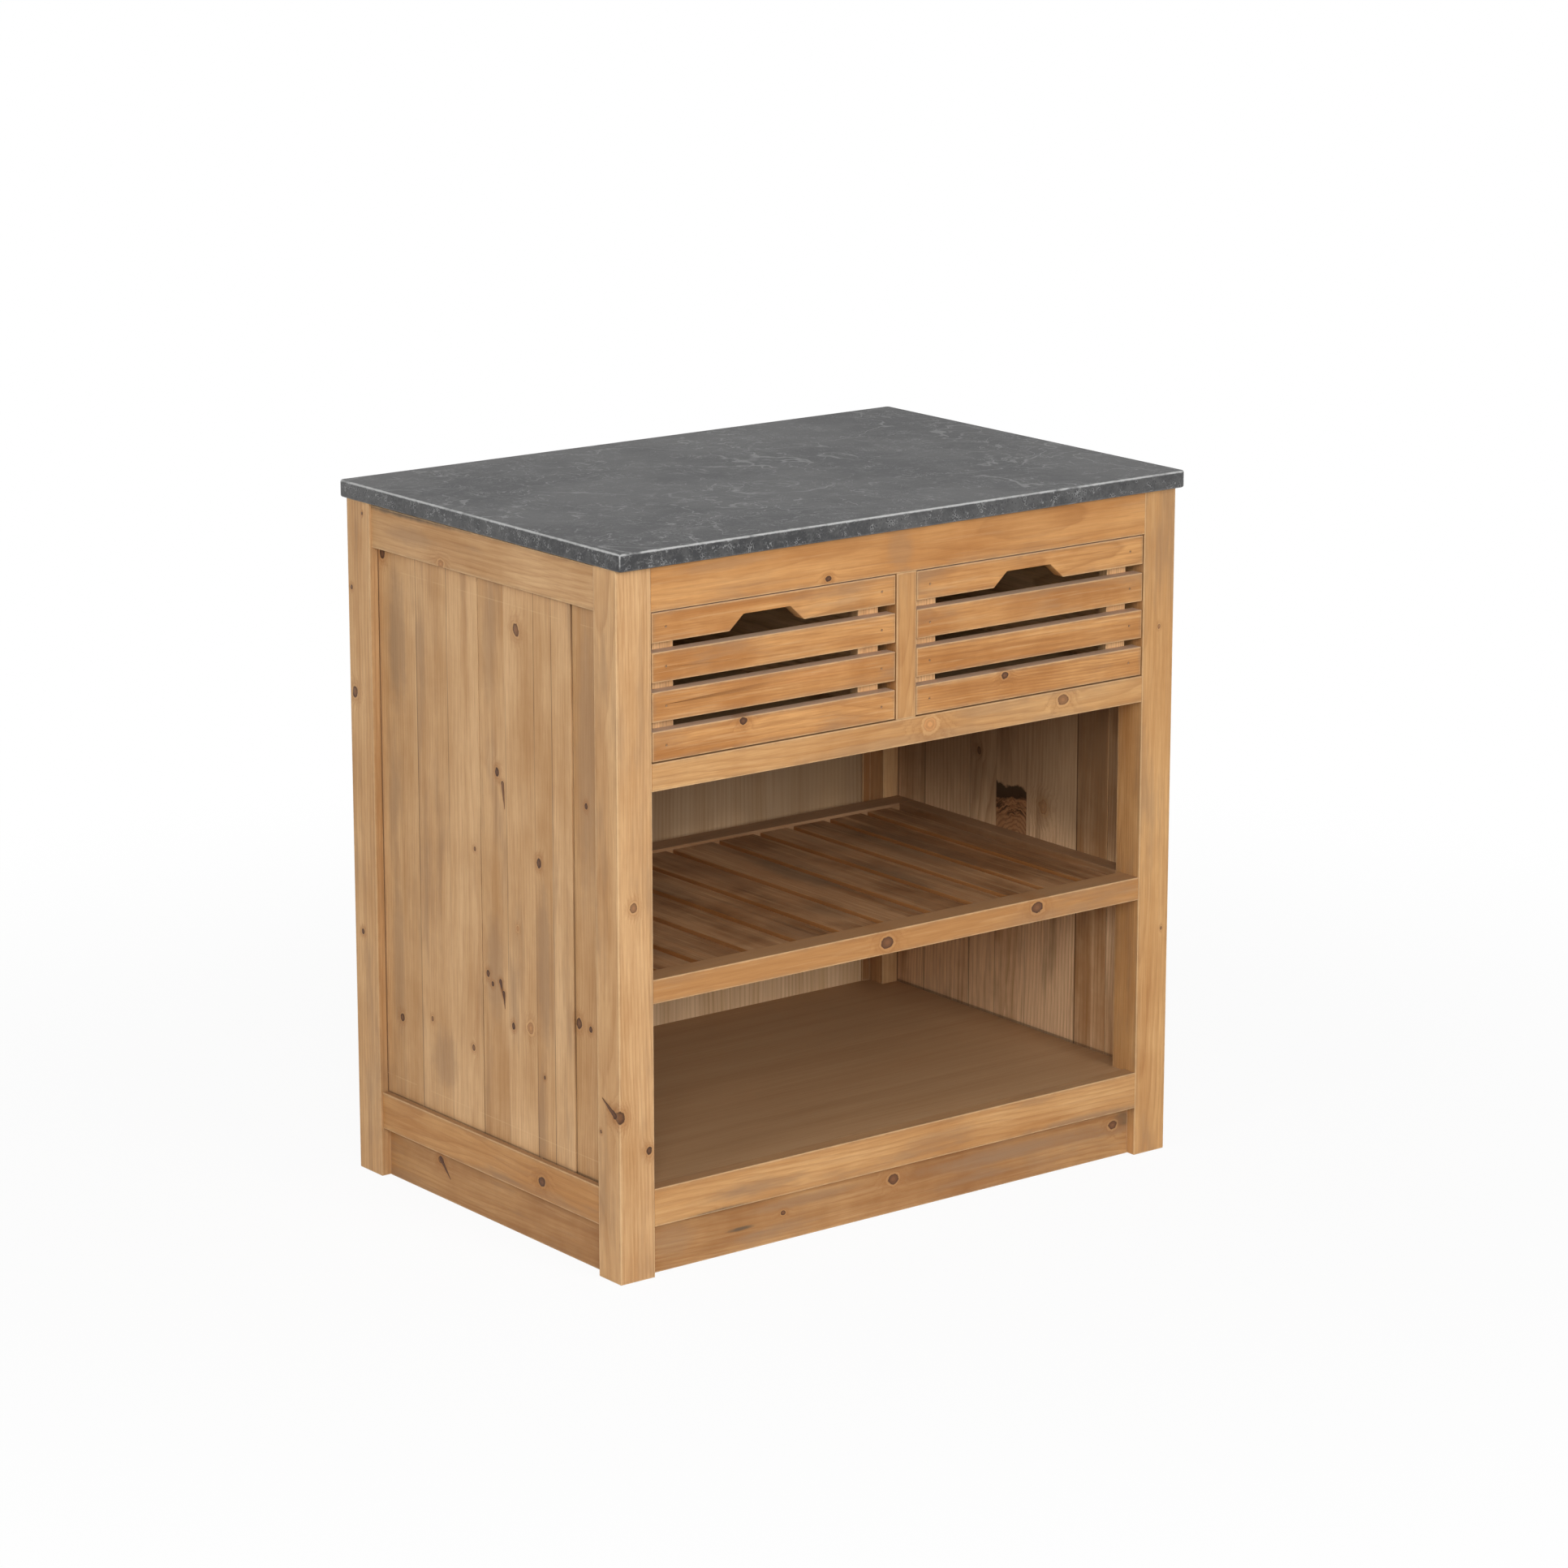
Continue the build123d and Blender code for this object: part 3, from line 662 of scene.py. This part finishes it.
def bark_pocket(s, colour):
    """The wedge of dark bark and the crooked grain in one strip of the right side."""
    y, z = s.split(s.place)[1:]
    ragged = s.swing(s.noise(s.place, (40, 70, 70), 4, 0.6), 16 * mm)
    curve = s.multiply(s.math("SINE", s.multiply(y, 75.0)), 4 * mm)
    height = s.add(s.add(z, curve), ragged)
    start, end = pocket_strip
    after_start = s.step(y, (start - 1) * mm, (start + 1) * mm)
    before_end = s.step(y, (end + 1) * mm, (end - 1) * mm)
    inside = s.both(after_start, before_end)

    def layer(bottom, top, blur):
        """1 between two heights in mm, with blurred borders."""
        above = s.step(height, (bottom - blur) * mm, (bottom + blur) * mm)
        below = s.step(height, (top + blur) * mm, (top - blur) * mm)
        return s.both(inside, s.both(above, below))

    # The crooked grain runs round a bend below the pocket
    beside_bend = s.add(y, 6 * mm)
    over_bend = s.subtract(height, 352 * mm)
    from_bend = s.vector("LENGTH", s.join(beside_bend, over_bend, 0.0))
    waves = s.math("SINE", s.multiply(from_bend, 950.0))
    fibre = s.noise(s.join(s.multiply(from_bend, 6.0), y, z), 60, 3, 0.6)
    colour = s.paint(colour, layer(350, 424, 12), 0.75, crooked_grain)
    colour = s.paint(colour, s.both(layer(358, 420, 8), s.step(waves, -0.2, 0.9)), 0.50, knot_heart)
    colour = s.paint(colour, s.both(layer(392, 420, 8), s.step(fibre, 0.46, 0.62)), 0.85, bark)
    wedge = s.linear(y, -0.16, height)
    above = s.step(height, 414 * mm, 419 * mm)
    below = s.step(wedge, 437 * mm, 433 * mm)
    return s.paint(colour, s.both(inside, s.both(above, below)), 0.92, bark)


def veneer(name, axis, seed, tones, spacing, fibres, lines=0.4, clouds=0.30, extra=None):
    """A thin sheet with fine, nearly straight grain and a smooth face."""
    s = Shader(name)
    x, y, z = s.split(s.place)
    along, across, deep = {"x": (x, y, z), "z": (z, x, y)}[axis]
    grain_place = s.join(s.add(along, seed * seed_shift), across, deep)
    bend = s.multiply(s.noise(grain_place, (1.6, 5, 5), 2), 55 * mm)
    wave = s.math("FRACT", s.math("DIVIDE", s.add(across, bend), spacing * mm))
    late = s.ramp(wave, (0, 0.1), (0.5, 0.05), (0.86, 1), (1, 0.1))
    late = s.both(late, s.step(s.noise(grain_place, (2, 9, 9), 2), 0.3, 0.7))
    fibre = s.noise(grain_place, (9, 420, 420), 3, 0.6)
    streak = s.noise(grain_place, (1.2, 40, 40), 4, 0.6)
    cloud = s.noise(grain_place, (2.5, 6, 6), 3, 0.5)
    light, dark = tones
    colour = s.mix(s.step(streak, 0.3, 0.7), light, dark)
    colour = s.paint(colour, late, lines, latewood)
    colour = s.paint(colour, s.step(fibre, 0.6, 0.3), fibres, latewood)
    colour = s.paint(colour, s.step(cloud, 0.45, 0.75), clouds, weathered)
    if extra:
        colour = extra(s, colour)
    roughness = s.linear(fibre, 0.2, 0.42)
    height = s.add(fibre, s.multiply(late, 0.4))
    return s.finish(colour, roughness, s.bump(height, 0.15 * mm, 0.6), specular=0.35)


def stone_veins(s, colour, side):
    """Curls and veins: lines where a bent noise passes its middle, broken up by another noise."""
    noise_middle = 0.5
    bend = (0.14, 0.14, 0)  # how far the lines wander, in metres
    wander = s.join(s.noise(s.place, 9, 4), s.noise(s.place, 12, 4), 0.0)
    warped = s.vector("ADD", s.place, s.vector("MULTIPLY", wander, bend))
    for waves, width, mask_waves, mask_low, mask_high, strength in vein_layers:
        line = s.absolute(s.subtract(s.noise(warped, waves, 2), noise_middle))
        aside = s.vector("ADD", s.place, (0.1 * waves, 0, 0))
        mask = s.noise(aside, mask_waves, 3)
        line = s.both(s.step(line, width, 0.1 * width), s.step(mask, mask_low, mask_high))
        line = s.multiply(line, s.linear(side, -0.75, 1.0))
        colour = s.paint(colour, line, strength, vein_grey)
    return colour


def chipped_and_highlit_arris(s, colour, low, high):
    """Chipped arrises with a painted highlight: bright above and dull below."""
    edge = edge_distance(s, low, high)
    chips = s.noise(s.place, 120, 4, 0.7)
    # The lower arrises stay dull: the painted highlight is on the upper ones
    upper = s.step(s.coordinate("z"), low.z + 4 * mm, low.z + 9 * mm)
    arris = s.step(s.linear(chips, 2.2 * mm, edge), 4.1 * mm, 2.2 * mm)
    arris = s.multiply(arris, s.linear(upper, 0.76, 0.10))
    arris = s.both(arris, s.step(s.noise(s.place, 34, 3, 0.6), 0.20, 0.52))
    return s.mix(arris, colour, chip_and_highlight_grey)


def stone(name):
    """Dark limestone with clouds, pale veins and flecks, pitted sides, and chipped arrises with a
    painted highlight.
    """
    s = Shader(name)
    low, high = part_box(name)
    cloud = s.noise(s.place, 5, 5, 0.6)
    mottle = s.noise(s.place, 54, 6, 0.74)
    grit = s.noise(s.place, 260, 3, 0.6)
    colour = s.mix(s.step(cloud, 0.38, 0.60), *stone_tones)
    colour = s.paint(colour, s.step(mottle, 0.45, 0.62), 0.50, mottle_grey)
    colour = s.paint(colour, s.step(mottle, 0.50, 0.34), 0.60, mottle_black)
    colour = s.paint(colour, s.step(grit, 0.58, 0.70), 0.38, grit_grey)

    side = s.step(s.absolute(s.split(s.normal)[2]), 0.75, 0.35)
    colour = stone_veins(s, colour, side)

    pitting = s.cells(s.place, 210)
    pit = s.both(s.step(pitting, 0.34, 0.16), s.step(s.noise(s.place, 40, 2), 0.42, 0.60))
    side_pit = s.both(side, pit)
    pit_rim = s.both(s.step(pitting, 0.30, 0.38), s.step(pitting, 0.52, 0.42))
    pit_rim = s.both(pit_rim, s.step(s.noise(s.place, 70, 3), 0.48, 0.62))
    colour = s.paint(colour, side, 0.25, side_grey)
    colour = s.paint(colour, side_pit, 0.80, pit_black)
    colour = s.paint(colour, s.both(side, pit_rim), 0.55, pit_rim_grey)
    colour = chipped_and_highlit_arris(s, colour, low, high)

    roughness = s.linear(mottle, 0.30, 0.38)
    height = s.linear(mottle, 0.8, s.multiply(grit, 0.25))
    height = s.subtract(height, s.multiply(side_pit, 1.2))
    return s.finish(colour, roughness, s.bump(height, 0.5 * mm, 0.6), specular=0.30)


def steel(name):
    """Dull nail heads with brown tarnish."""
    s = Shader(name)
    tarnish = s.noise(s.place, 900, 3, 0.6)
    colour = s.mix(s.step(tarnish, 0.35, 0.65), *nail_tones)
    roughness = s.linear(tarnish, 0.3, 0.35)
    return s.finish(colour, roughness, s.bump(tarnish, 0.1 * mm, 0.5), specular=0.5, metallic=0.35)


def dress(name, material, arris=0.0):
    """Gives a piece its material, and rounds its arrises to arris mm."""
    for slot in nodes[name].material_slots:
        slot.material = material
    if arris:
        ease(name, arris)


def ease(name, width):
    """Rounds the arrises of a CAD piece, to width mm, by modifiers alone: the mesh's double
    corners are welded and its flat faces joined, so that only true edges are bevelled."""
    piece = nodes[name]
    weld = piece.modifiers.new("weld", "WELD")
    weld.merge_threshold = 0.02 * mm
    flat = piece.modifiers.new("flat", "DECIMATE")
    flat.decimate_type = "DISSOLVE"
    flat.angle_limit = math.radians(0.5)
    bevel = piece.modifiers.new("arris", "BEVEL")
    bevel.width = width * mm
    bevel.segments = 3
    bevel.limit_method = "ANGLE"
    bevel.angle_limit = math.radians(40)
    bevel.use_clamp_overlap = False
    bevel.harden_normals = True


def long_axis(name):
    low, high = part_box(name)
    size = high - low
    return "xyz"[max(range(3), key=lambda axis: size[axis])]


def end_of(name, axis, side):
    """Where a piece ends along an axis, in mm: side 0 is its lowest end and 1 its highest."""
    return getattr(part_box(name)[side], axis) / mm


# The faces that show knots and stains
front = Face("y", end_of("front_left_leg", "y", 0))
slat_front = Face("y", end_of("left_drawer_top_slat", "y", 0))
plinth_front = Face("y", end_of("front_plinth", "y", 0))
leg_side = Face("x", end_of("front_left_leg", "x", 0))
rail_side = Face("x", end_of("left_top_rail", "x", 0))
board_side = Face("x", end_of("left_side_boards", "x", 0))
plinth_side = Face("x", end_of("left_plinth", "x", 0))
inner_side = Face("x", end_of("right_side_boards", "x", 0))
over_shelf = Face("z", end_of("shelf_slats", "z", 1) + 2)

# The part of the side boards between the legs and the rails: its lowest and highest corner in
# mm, with None along X, where it has no border
side_window = (
    (None, end_of("front_left_leg", "y", 1), end_of("left_bottom_rail", "z", 1)),
    (None, end_of("back_left_leg", "y", 0), end_of("left_top_rail", "z", 0)),
)

# Knots and streaks that the photograph shows, by piece
knots = {
    "front_left_leg": (
        front.knots((-413, 468, 4.6, 0.35), (-435, 211, 6.0, 0.9, 1.6))
        + leg_side.streaks(((-276, 212), (-251, 228), 4.2))
        + front.knots((-393, 162, 4.0, 0.9))
        + leg_side.knots((-247, 185, 1.8, 0.7))
    ),
    "back_left_leg": leg_side.knots(
        (278, 631, 5.5, 0.6), (271, 319, 3.0, 0.9), (254, 863, 1.6, 0.9), (281, 765, 2.5, 0.7),
    ),
    "front_right_leg": front.knots((412, 700, 2.2, 0.3), (425, 300, 2.0, 0.4)),
    "shelf_front_rail": front.knots((-27, 359, 7.5, 0.60), (215, 363, 7.0, 0.60)),
    "front_plinth": plinth_front.knots(
        (-6, 44, 6.5, 0.55), (359, 43, 5.5, 0.5), (-180, 36, 3.0, 0.6),
    ),
    "left_bottom_rail": rail_side.knots((-117, 86, 6.0, 0.75)),
    "left_plinth": (
        plinth_side.knots((120, 50, 5.0, 0.85))
        + plinth_side.streaks(((121, 52), (100, 30), 3.4))
    ),
    "left_top_rail": rail_side.knots((84, 826, 5.0, 0.15)),
    "front_top_rail": front.knots((-121, 829, 3.4, 0.95)),
    "drawer_rail": front.knots((38, 626, 9.0, 0.0), (253, 627, 6.5, 0.35)),
    "left_drawer_front_slat_1": slat_front.knots((-249, 672, 4.5, 0.9)),
    "right_drawer_front_slat_1": slat_front.knots((158, 671, 4.5, 0.75)),
    "left_side_boards": (
        board_side.knots((-63, 768, 6.0, 0.45), (228, 815, 5.5, 0.85), (-19, 583, 4.2, 0.9))
        + board_side.streaks(((-30, 571), (-34, 540), 3.0, 0.6))
        + board_side.knots(
            (-106, 487, 4.5, 0.85), (32, 476, 2.2, 0.5), (-203, 577, 3.0, 0.95),
            (7, 322, 3.6, 0.8), (-3, 311, 2.6, 0.9),
        )
        + board_side.streaks(((-20, 318), (-27, 296), 3.0, 1.0), ((-27, 305), (-29, 285), 2.6, 1.0))
        + board_side.knots(
            (-47, 267, 3.4, 1.0), (-84, 273, 6.0, 0.15), (-184, 303, 5.0, 0.7),
            (-208, 301, 3.0, 0.9), (202, 219, 4.2, 0.7), (133, 234, 2.6, 0.4),
            (41, 218, 3.0, 0.5), (-113, 217, 2.0, 0.8), (-59, 394, 3.0, 0.1),
        )
    ),
    "right_side_boards": inner_side.knots((-66, 419, 8.0, 0.05), (66, 470, 4.0, 0.6)),
}

# Stains that the photograph shows, by piece, and a painted shadow on the left top rail
stains = {
    "shelf_slats": over_shelf.stains(
        (60, 10, 30, 120, 0.60, smudge_and_shadow_brown), (150, -70, 24, 90, 0.50, smudge_and_shadow_brown),
        (-120, 60, 34, 90, 0.35, smudge_and_shadow_brown), (260, 20, 40, 170, 0.45, smudge_and_shadow_brown),
        (-20, -150, 22, 60, 0.40, smudge_and_shadow_brown),
    ),
    "left_top_rail": rail_side.stains(
        # The first of these is a painted shadow along the rail's top, under the worktop
        (170, 877, 8, 150, 1.0, smudge_and_shadow_brown), (150, 850, 14, 60, 0.45),
    ),
    "front_bottom_rail": front.stains(
        (-285, 63, 5, 62, 0.85, smudge_and_shadow_brown), (300, 66, 8, 110, 0.65), (60, 90, 10, 60, 0.30),
    ),
    "front_plinth": plinth_front.stains(
        (-247, 29, 3, 22, 0.9, smudge_and_shadow_brown), (-150, 46, 8, 90, 0.55), (190, 42, 10, 190, 0.6),
        (378, 47, 12, 22, 0.7, smudge_and_shadow_brown), (-350, 36, 26, 40, 0.4),
    ),
    "front_top_rail": front.stains((-10, 850, 30, 22, 0.35), (-280, 866, 8, 90, 0.35)),
    "drawer_rail": front.stains((0, 612, 8, 160, 0.35), (130, 632, 10, 70, 0.4)),
    "left_side_boards": board_side.stains(
        (200, 715, 24, 110, 0.55), (207, 690, 12, 80, 0.14, smudge_and_shadow_brown), (208, 290, 16, 140, 0.45),
        (-8, 330, 24, 85, 0.50), (-114, 360, 18, 120, 0.55), (108, 185, 34, 45, 0.45),
        (-206, 640, 26, 220, 0.45), (-5, 740, 18, 90, 0.35),
    ),
}

# Glued-up strips of the side panels: axis, boundaries in mm, tone of each strip
left_strips = (
    "y",
    (-246, -177, -136, -99, -38, 19, 87, 155, 246),
    (0.85, 0.25, 0.70, 0.35, 0.62, 0.30, 0.50, 0.62),
)
right_strips = (
    "y",
    (-246, -195, -134, -32, 30, 84, 180, 246),
    (0.90, 1.00, 0.35, 0.55, 0.45, 0.38, 0.62),
)

# Where the log's middle lies for pieces of one kind, in mm from the piece's middle
leg_piths = {
    "front_left_leg": (55, 30), "front_right_leg": (-48, 22),
    "back_left_leg": (20, -62), "back_right_leg": (12, 44),
}
rail_piths = ((40, 26), (-34, 30), (22, -36), (50, 12))
slat_piths = ((40, 22), (-36, 26), (28, -30), (50, 14))


def dress_legs():
    for seed, (name, pith) in enumerate(leg_piths.items(), start=1):
        tones = rail_tones if name == "front_right_leg" else leg_tones
        dress(name, wood(
            name, "z", tones, seed, pith=pith, spacing=4.8, rings=0.42, patches=0.55, bias=-0.06,
            top_grey=0.4, grime=0.22,
        ), arris=1.0)


def dress_rails():
    """Rails, divider and battens of the frame, and the rails of the shelf."""
    rails = {
        # name: (tones, bias)
        "front_top_rail": (front_tones, -0.04),
        "drawer_rail": (rail_tones, 0.0),
        "drawer_divider": (rail_tones, 0.05),
        "front_bottom_rail": (rail_tones, 0.10),
        "left_top_rail": (board_tones, 0.06),
        "left_bottom_rail": (rail_tones, 0.25),
        "right_top_rail": (rail_tones, 0.0),
        "right_bottom_rail": (rail_tones, 0.1),
        "back_top_rail": (board_tones, 0.0),
        "back_drawer_rail": (board_tones, 0.0),
        "back_bottom_rail": (board_tones, 0.1),
        # The battens' dark tones and bias are painted shade of the bays' back corners
        "back_left_batten": (plinth_tones, 0.4),
        "back_right_batten": (plinth_tones, 0.4),
        "shelf_front_rail": (rail_tones, 0.55),
        "shelf_back_rail": (shelf_tones, 0.0),
        "shelf_left_rail": (shelf_tones, 0.0),
        "shelf_right_rail": (shelf_tones, 0.0),
    }
    for seed, (name, (tones, bias)) in enumerate(rails.items(), start=7):
        changes = {"pith": rail_piths[seed % len(rail_piths)]}
        if name == "left_top_rail":
            changes = {"pith": (95, 60), "rings": 0.34}
        if "bottom" in name:
            changes["patches"] = 0.75
        if tones is shelf_tones:
            changes["wear"] = 0.0
        material = wood(name, long_axis(name), tones, seed, bias=bias, top_grey=0.6, **changes)
        dress(name, material, arris=0.9)


def dress_plinths():
    for seed, name in enumerate(("front_plinth", "left_plinth", "right_plinth"), start=31):
        dress(name, wood(
            name, long_axis(name), plinth_tones, seed, pith=(30, 34), spacing=3.8, patches=0.8,
            contrast=1.3, rings=0.6, bias=0.06,
        ), arris=0.9)


def dress_side_boards():
    dress("left_side_boards", wood(
        "left_side_boards", "z", board_tones, 41, pith=(60, 30), spacing=4.6, rings=0.30,
        patches=0.55, wear=0.0, strips=left_strips, window=side_window, grime=0.45, lines=0.10,
        extra=scribe_lines,
    ), arris=0.7)
    dress("right_side_boards", wood(
        "right_side_boards", "z", inner_board_tones, 47, pith=(50, 34), spacing=5.4, rings=0.55,
        patches=0.65, wear=0.0, strips=right_strips, strip_contrast=1.6, window=side_window,
        bias=-0.55, contrast=1.2, extra=inner_boards,
    ), arris=0.7)


def dress_drawers():
    for number, side in enumerate(("left_drawer", "right_drawer")):
        fronts = [f"{side}_front_slat_{row}" for row in (1, 2, 3)] + [f"{side}_top_slat"]
        for row, name in enumerate(fronts):
            pith = slat_piths[(row + number) % len(slat_piths)]
            dress(name, wood(
                name, "x", front_tones, 60 + 9 * number + row, pith=pith, spacing=3.6, rings=0.60,
                patches=0.60, contrast=1.5, top_grey=0.85, top_tone=sawn_grey, grime=0.42,
                fine=0.30, lines=0.30,
            ), arris=1.0)
        box = ("left_batten", "right_batten", "left_side", "right_side", "back")
        for row, piece in enumerate(box):
            name = f"{side}_{piece}"
            seed = 80 + 9 * number + row
            dress(name, wood(
                name, long_axis(name), inside_tones, seed, pith=(40, 16), patches=0.35, grime=0.2,
            ), arris=0.6)
        name = f"{side}_bottom"
        dress(name, veneer(name, "x", 3 + number, drawer_bottom_tones, spacing=9, fibres=0.12))
        dress(f"{side}_nails", steel(f"{side}_nails"))


def dress_shelf_slats():
    """One material for all slats: each slat's tone and grain come from its place along X."""
    edges = slat_edges("shelf_slats")
    margin = 2  # mm beyond the outer slats
    boundaries = [edges[0][0] / mm - margin]
    boundaries += [(left[1] + right[0]) / 2 / mm for left, right in zip(edges, edges[1:])]
    boundaries += [edges[-1][1] / mm + margin]
    # The slats get darker from left to right, a painted shade, and vary from one to the next
    count = len(edges)
    tones = [0.6 * number / count + 0.4 * ((0.37 + 0.61 * number) % 1) for number in range(count)]

    def dirty_edges(s, colour):
        """A dark line along both long edges of each slat's top face."""
        position = s.coordinate("x")
        away = s.absolute(s.subtract(position, boundaries[1] * mm))
        for boundary in boundaries[2:-1]:
            from_gap = s.absolute(s.subtract(position, boundary * mm))
            away = s.math("MINIMUM", away, from_gap)
        top = s.step(s.split(s.normal)[2], 0.75, 0.95)
        broken = s.step(s.noise(s.place, (60, 25, 60), 3, 0.6), 0.32, 0.55)
        line = s.both(s.both(top, broken), s.step(away, 5.5 * mm, 3.0 * mm))
        return s.paint(colour, line, 0.75, bark)

    dress("shelf_slats", wood(
        "shelf_slats", "y", shelf_tones, 23, pith=(40, 12), spacing=3.8, rings=0.7, patches=0.55,
        contrast=2.2, bias=-0.12, wear=0.0, grime=0.0, lines=0.36, fine=0.42, top_grey=0.15,
        side_amber=0.8, strips=("x", boundaries, tones), extra=dirty_edges,
    ), arris=1.0)
    dress("shelf_nails", steel("shelf_nails"))


def slat_edges(name):
    """[left, right] of each slat in a node, in metres, from the node's own mesh."""
    mesh = nodes[name].data
    touching = 0.01 * mm
    merged = []
    for left, right in sorted(face_span(mesh, polygon) for polygon in mesh.polygons):
        if merged and left <= merged[-1][1] + touching:
            merged[-1][1] = max(merged[-1][1], right)
        else:
            merged.append([left, right])
    return merged


def face_span(mesh, polygon):
    """Lowest and highest X of a face."""
    places = [mesh.vertices[vertex].co.x for vertex in polygon.vertices]
    return min(places), max(places)


def dress_inside():
    """Deck, back panel, runners and kickers."""
    dress("deck", veneer(
        "deck", "x", 5, deck_tones, spacing=9, fibres=0.30, lines=0.10, clouds=0.10,
    ))
    dress("back_panel", veneer(
        "back_panel", "z", 8, back_panel_tones, spacing=7, fibres=0.22, lines=0.45,
        extra=panel_painted_shade,
    ))
    plain = (
        "deck_front_bearer", "left_runner", "centre_runner", "right_runner",
        "left_kicker", "centre_kicker", "right_kicker",
    )
    for seed, name in enumerate(plain, start=110):
        material = wood(name, long_axis(name), inside_tones, seed, pith=(46, 20), wear=0.3)
        dress(name, material, arris=0.6)


def dress_worktop():
    dress("worktop", stone("worktop"))


def seen_directly(tree):
    """1 where a camera, mirror or glass ray looks, so that the backdrop stays white in those."""
    rays = tree.nodes.new("ShaderNodeLightPath")
    seen = rays.outputs["Is Camera Ray"]
    for kind in ("Is Glossy Ray", "Is Transmission Ray"):
        highest = tree.nodes.new("ShaderNodeMath")
        highest.operation = "MAXIMUM"
        tree.links.new(seen, highest.inputs[0])
        tree.links.new(rays.outputs[kind], highest.inputs[1])
        seen = highest.outputs[0]
    return seen


def add_floor():
    """A pale floor. The camera sees it nearly white, and it keeps the cabinet's shadow."""
    signs = ((-1, -1), (1, -1), (1, 1), (-1, 1))
    corners = [(x * floor_reach, y * floor_reach, 0) for x, y in signs]
    mesh = bpy.data.meshes.new("floor")
    mesh.from_pydata(corners, [], [(0, 1, 2, 3)])
    floor = bpy.data.objects.new("floor", mesh)
    bpy.context.scene.collection.objects.link(floor)

    s = Shader("floor")
    matte = s.tree.nodes.new("ShaderNodeBsdfDiffuse")
    speckle = s.noise(s.place, 300, 2)
    s.put(matte.inputs["Color"], s.mix(speckle, *floor_greys))
    glow = s.tree.nodes.new("ShaderNodeEmission")
    away = s.vector("LENGTH", s.place)
    rise = s.step(away, *floor_glow_rise)
    share = s.linear(rise, 1 - floor_glow, floor_glow)
    share = s.multiply(share, seen_directly(s.tree))
    mix = s.tree.nodes.new("ShaderNodeMixShader")
    s.put(mix.inputs[0], share)
    s.tree.links.new(matte.outputs[0], mix.inputs[1])
    s.tree.links.new(glow.outputs[0], mix.inputs[2])
    output = s.tree.nodes.new("ShaderNodeOutputMaterial")
    s.tree.links.new(mix.outputs[0], output.inputs["Surface"])
    mesh.materials.append(s.material)


def add_world():
    """White where the camera looks, and a weaker white that lights the cabinet from all round."""
    world = bpy.data.worlds.new("studio")
    bpy.context.scene.world = world
    world.use_nodes = True
    tree = world.node_tree
    tree.nodes.clear()
    level = tree.nodes.new("ShaderNodeMapRange")
    level.inputs["To Min"].default_value = ambient_level
    level.inputs["To Max"].default_value = 1
    background = tree.nodes.new("ShaderNodeBackground")
    background.inputs["Color"].default_value = (1, 1, 1, 1)
    output = tree.nodes.new("ShaderNodeOutputWorld")
    tree.links.new(seen_directly(tree), level.inputs["Value"])
    tree.links.new(level.outputs[0], background.inputs["Strength"])
    tree.links.new(background.outputs[0], output.inputs[0])


def direction(azimuth, elevation):
    """Towards a camera or lamp. Azimuth 0 is straight in front and -90 degrees is to the left."""
    level = math.cos(elevation)
    return Vector((math.sin(azimuth) * level, -math.cos(azimuth) * level, math.sin(elevation)))


def facing(place, away):
    """At a place, and turned so that a lamp or camera there looks back along away."""
    turn = away.to_track_quat("Z", "Y").to_matrix().to_4x4()
    return Matrix.Translation(place) @ turn


def add_softbox(name, azimuth, elevation, distance, size, level):
    """A square lamp with a grid, aimed at the cabinet's middle."""
    lamp = bpy.data.lights.new(name, "AREA")
    lamp.shape = "SQUARE"
    lamp.size = size
    half_spread = math.radians(softbox_spread) / 2
    lamp.spread = 2 * half_spread
    # A lamp with a narrower spread is stronger along its middle by this factor
    gain = math.tan(half_spread) / (math.tan(half_spread) - half_spread)
    lamp.energy = level * math.pi ** 2 * distance ** 2 / gain
    away = direction(math.radians(azimuth), math.radians(elevation))
    place = cabinet_middle + away * distance
    holder = bpy.data.objects.new(name, lamp)
    holder.matrix_world = facing(place, away)
    bpy.context.scene.collection.objects.link(holder)


def add_lights():
    add_world()
    for softbox in softboxes:
        add_softbox(*softbox)


def add_camera():
    camera = bpy.data.cameras.new("camera")
    camera.sensor_width = sensor_width
    camera.lens = focal_in_pixels / image_in_pixels * sensor_width
    back = direction(view_azimuth, view_elevation)
    holder = bpy.data.objects.new("camera", camera)
    place = view_target + back * view_distance
    holder.matrix_world = facing(place, back)
    bpy.context.scene.collection.objects.link(holder)
    bpy.context.scene.camera = holder


dress_worktop()
dress_legs()
dress_rails()
dress_plinths()
dress_side_boards()
dress_drawers()
dress_shelf_slats()
dress_inside()
add_floor()
add_lights()
add_camera()
bpy.context.scene.view_settings.view_transform = "Standard"
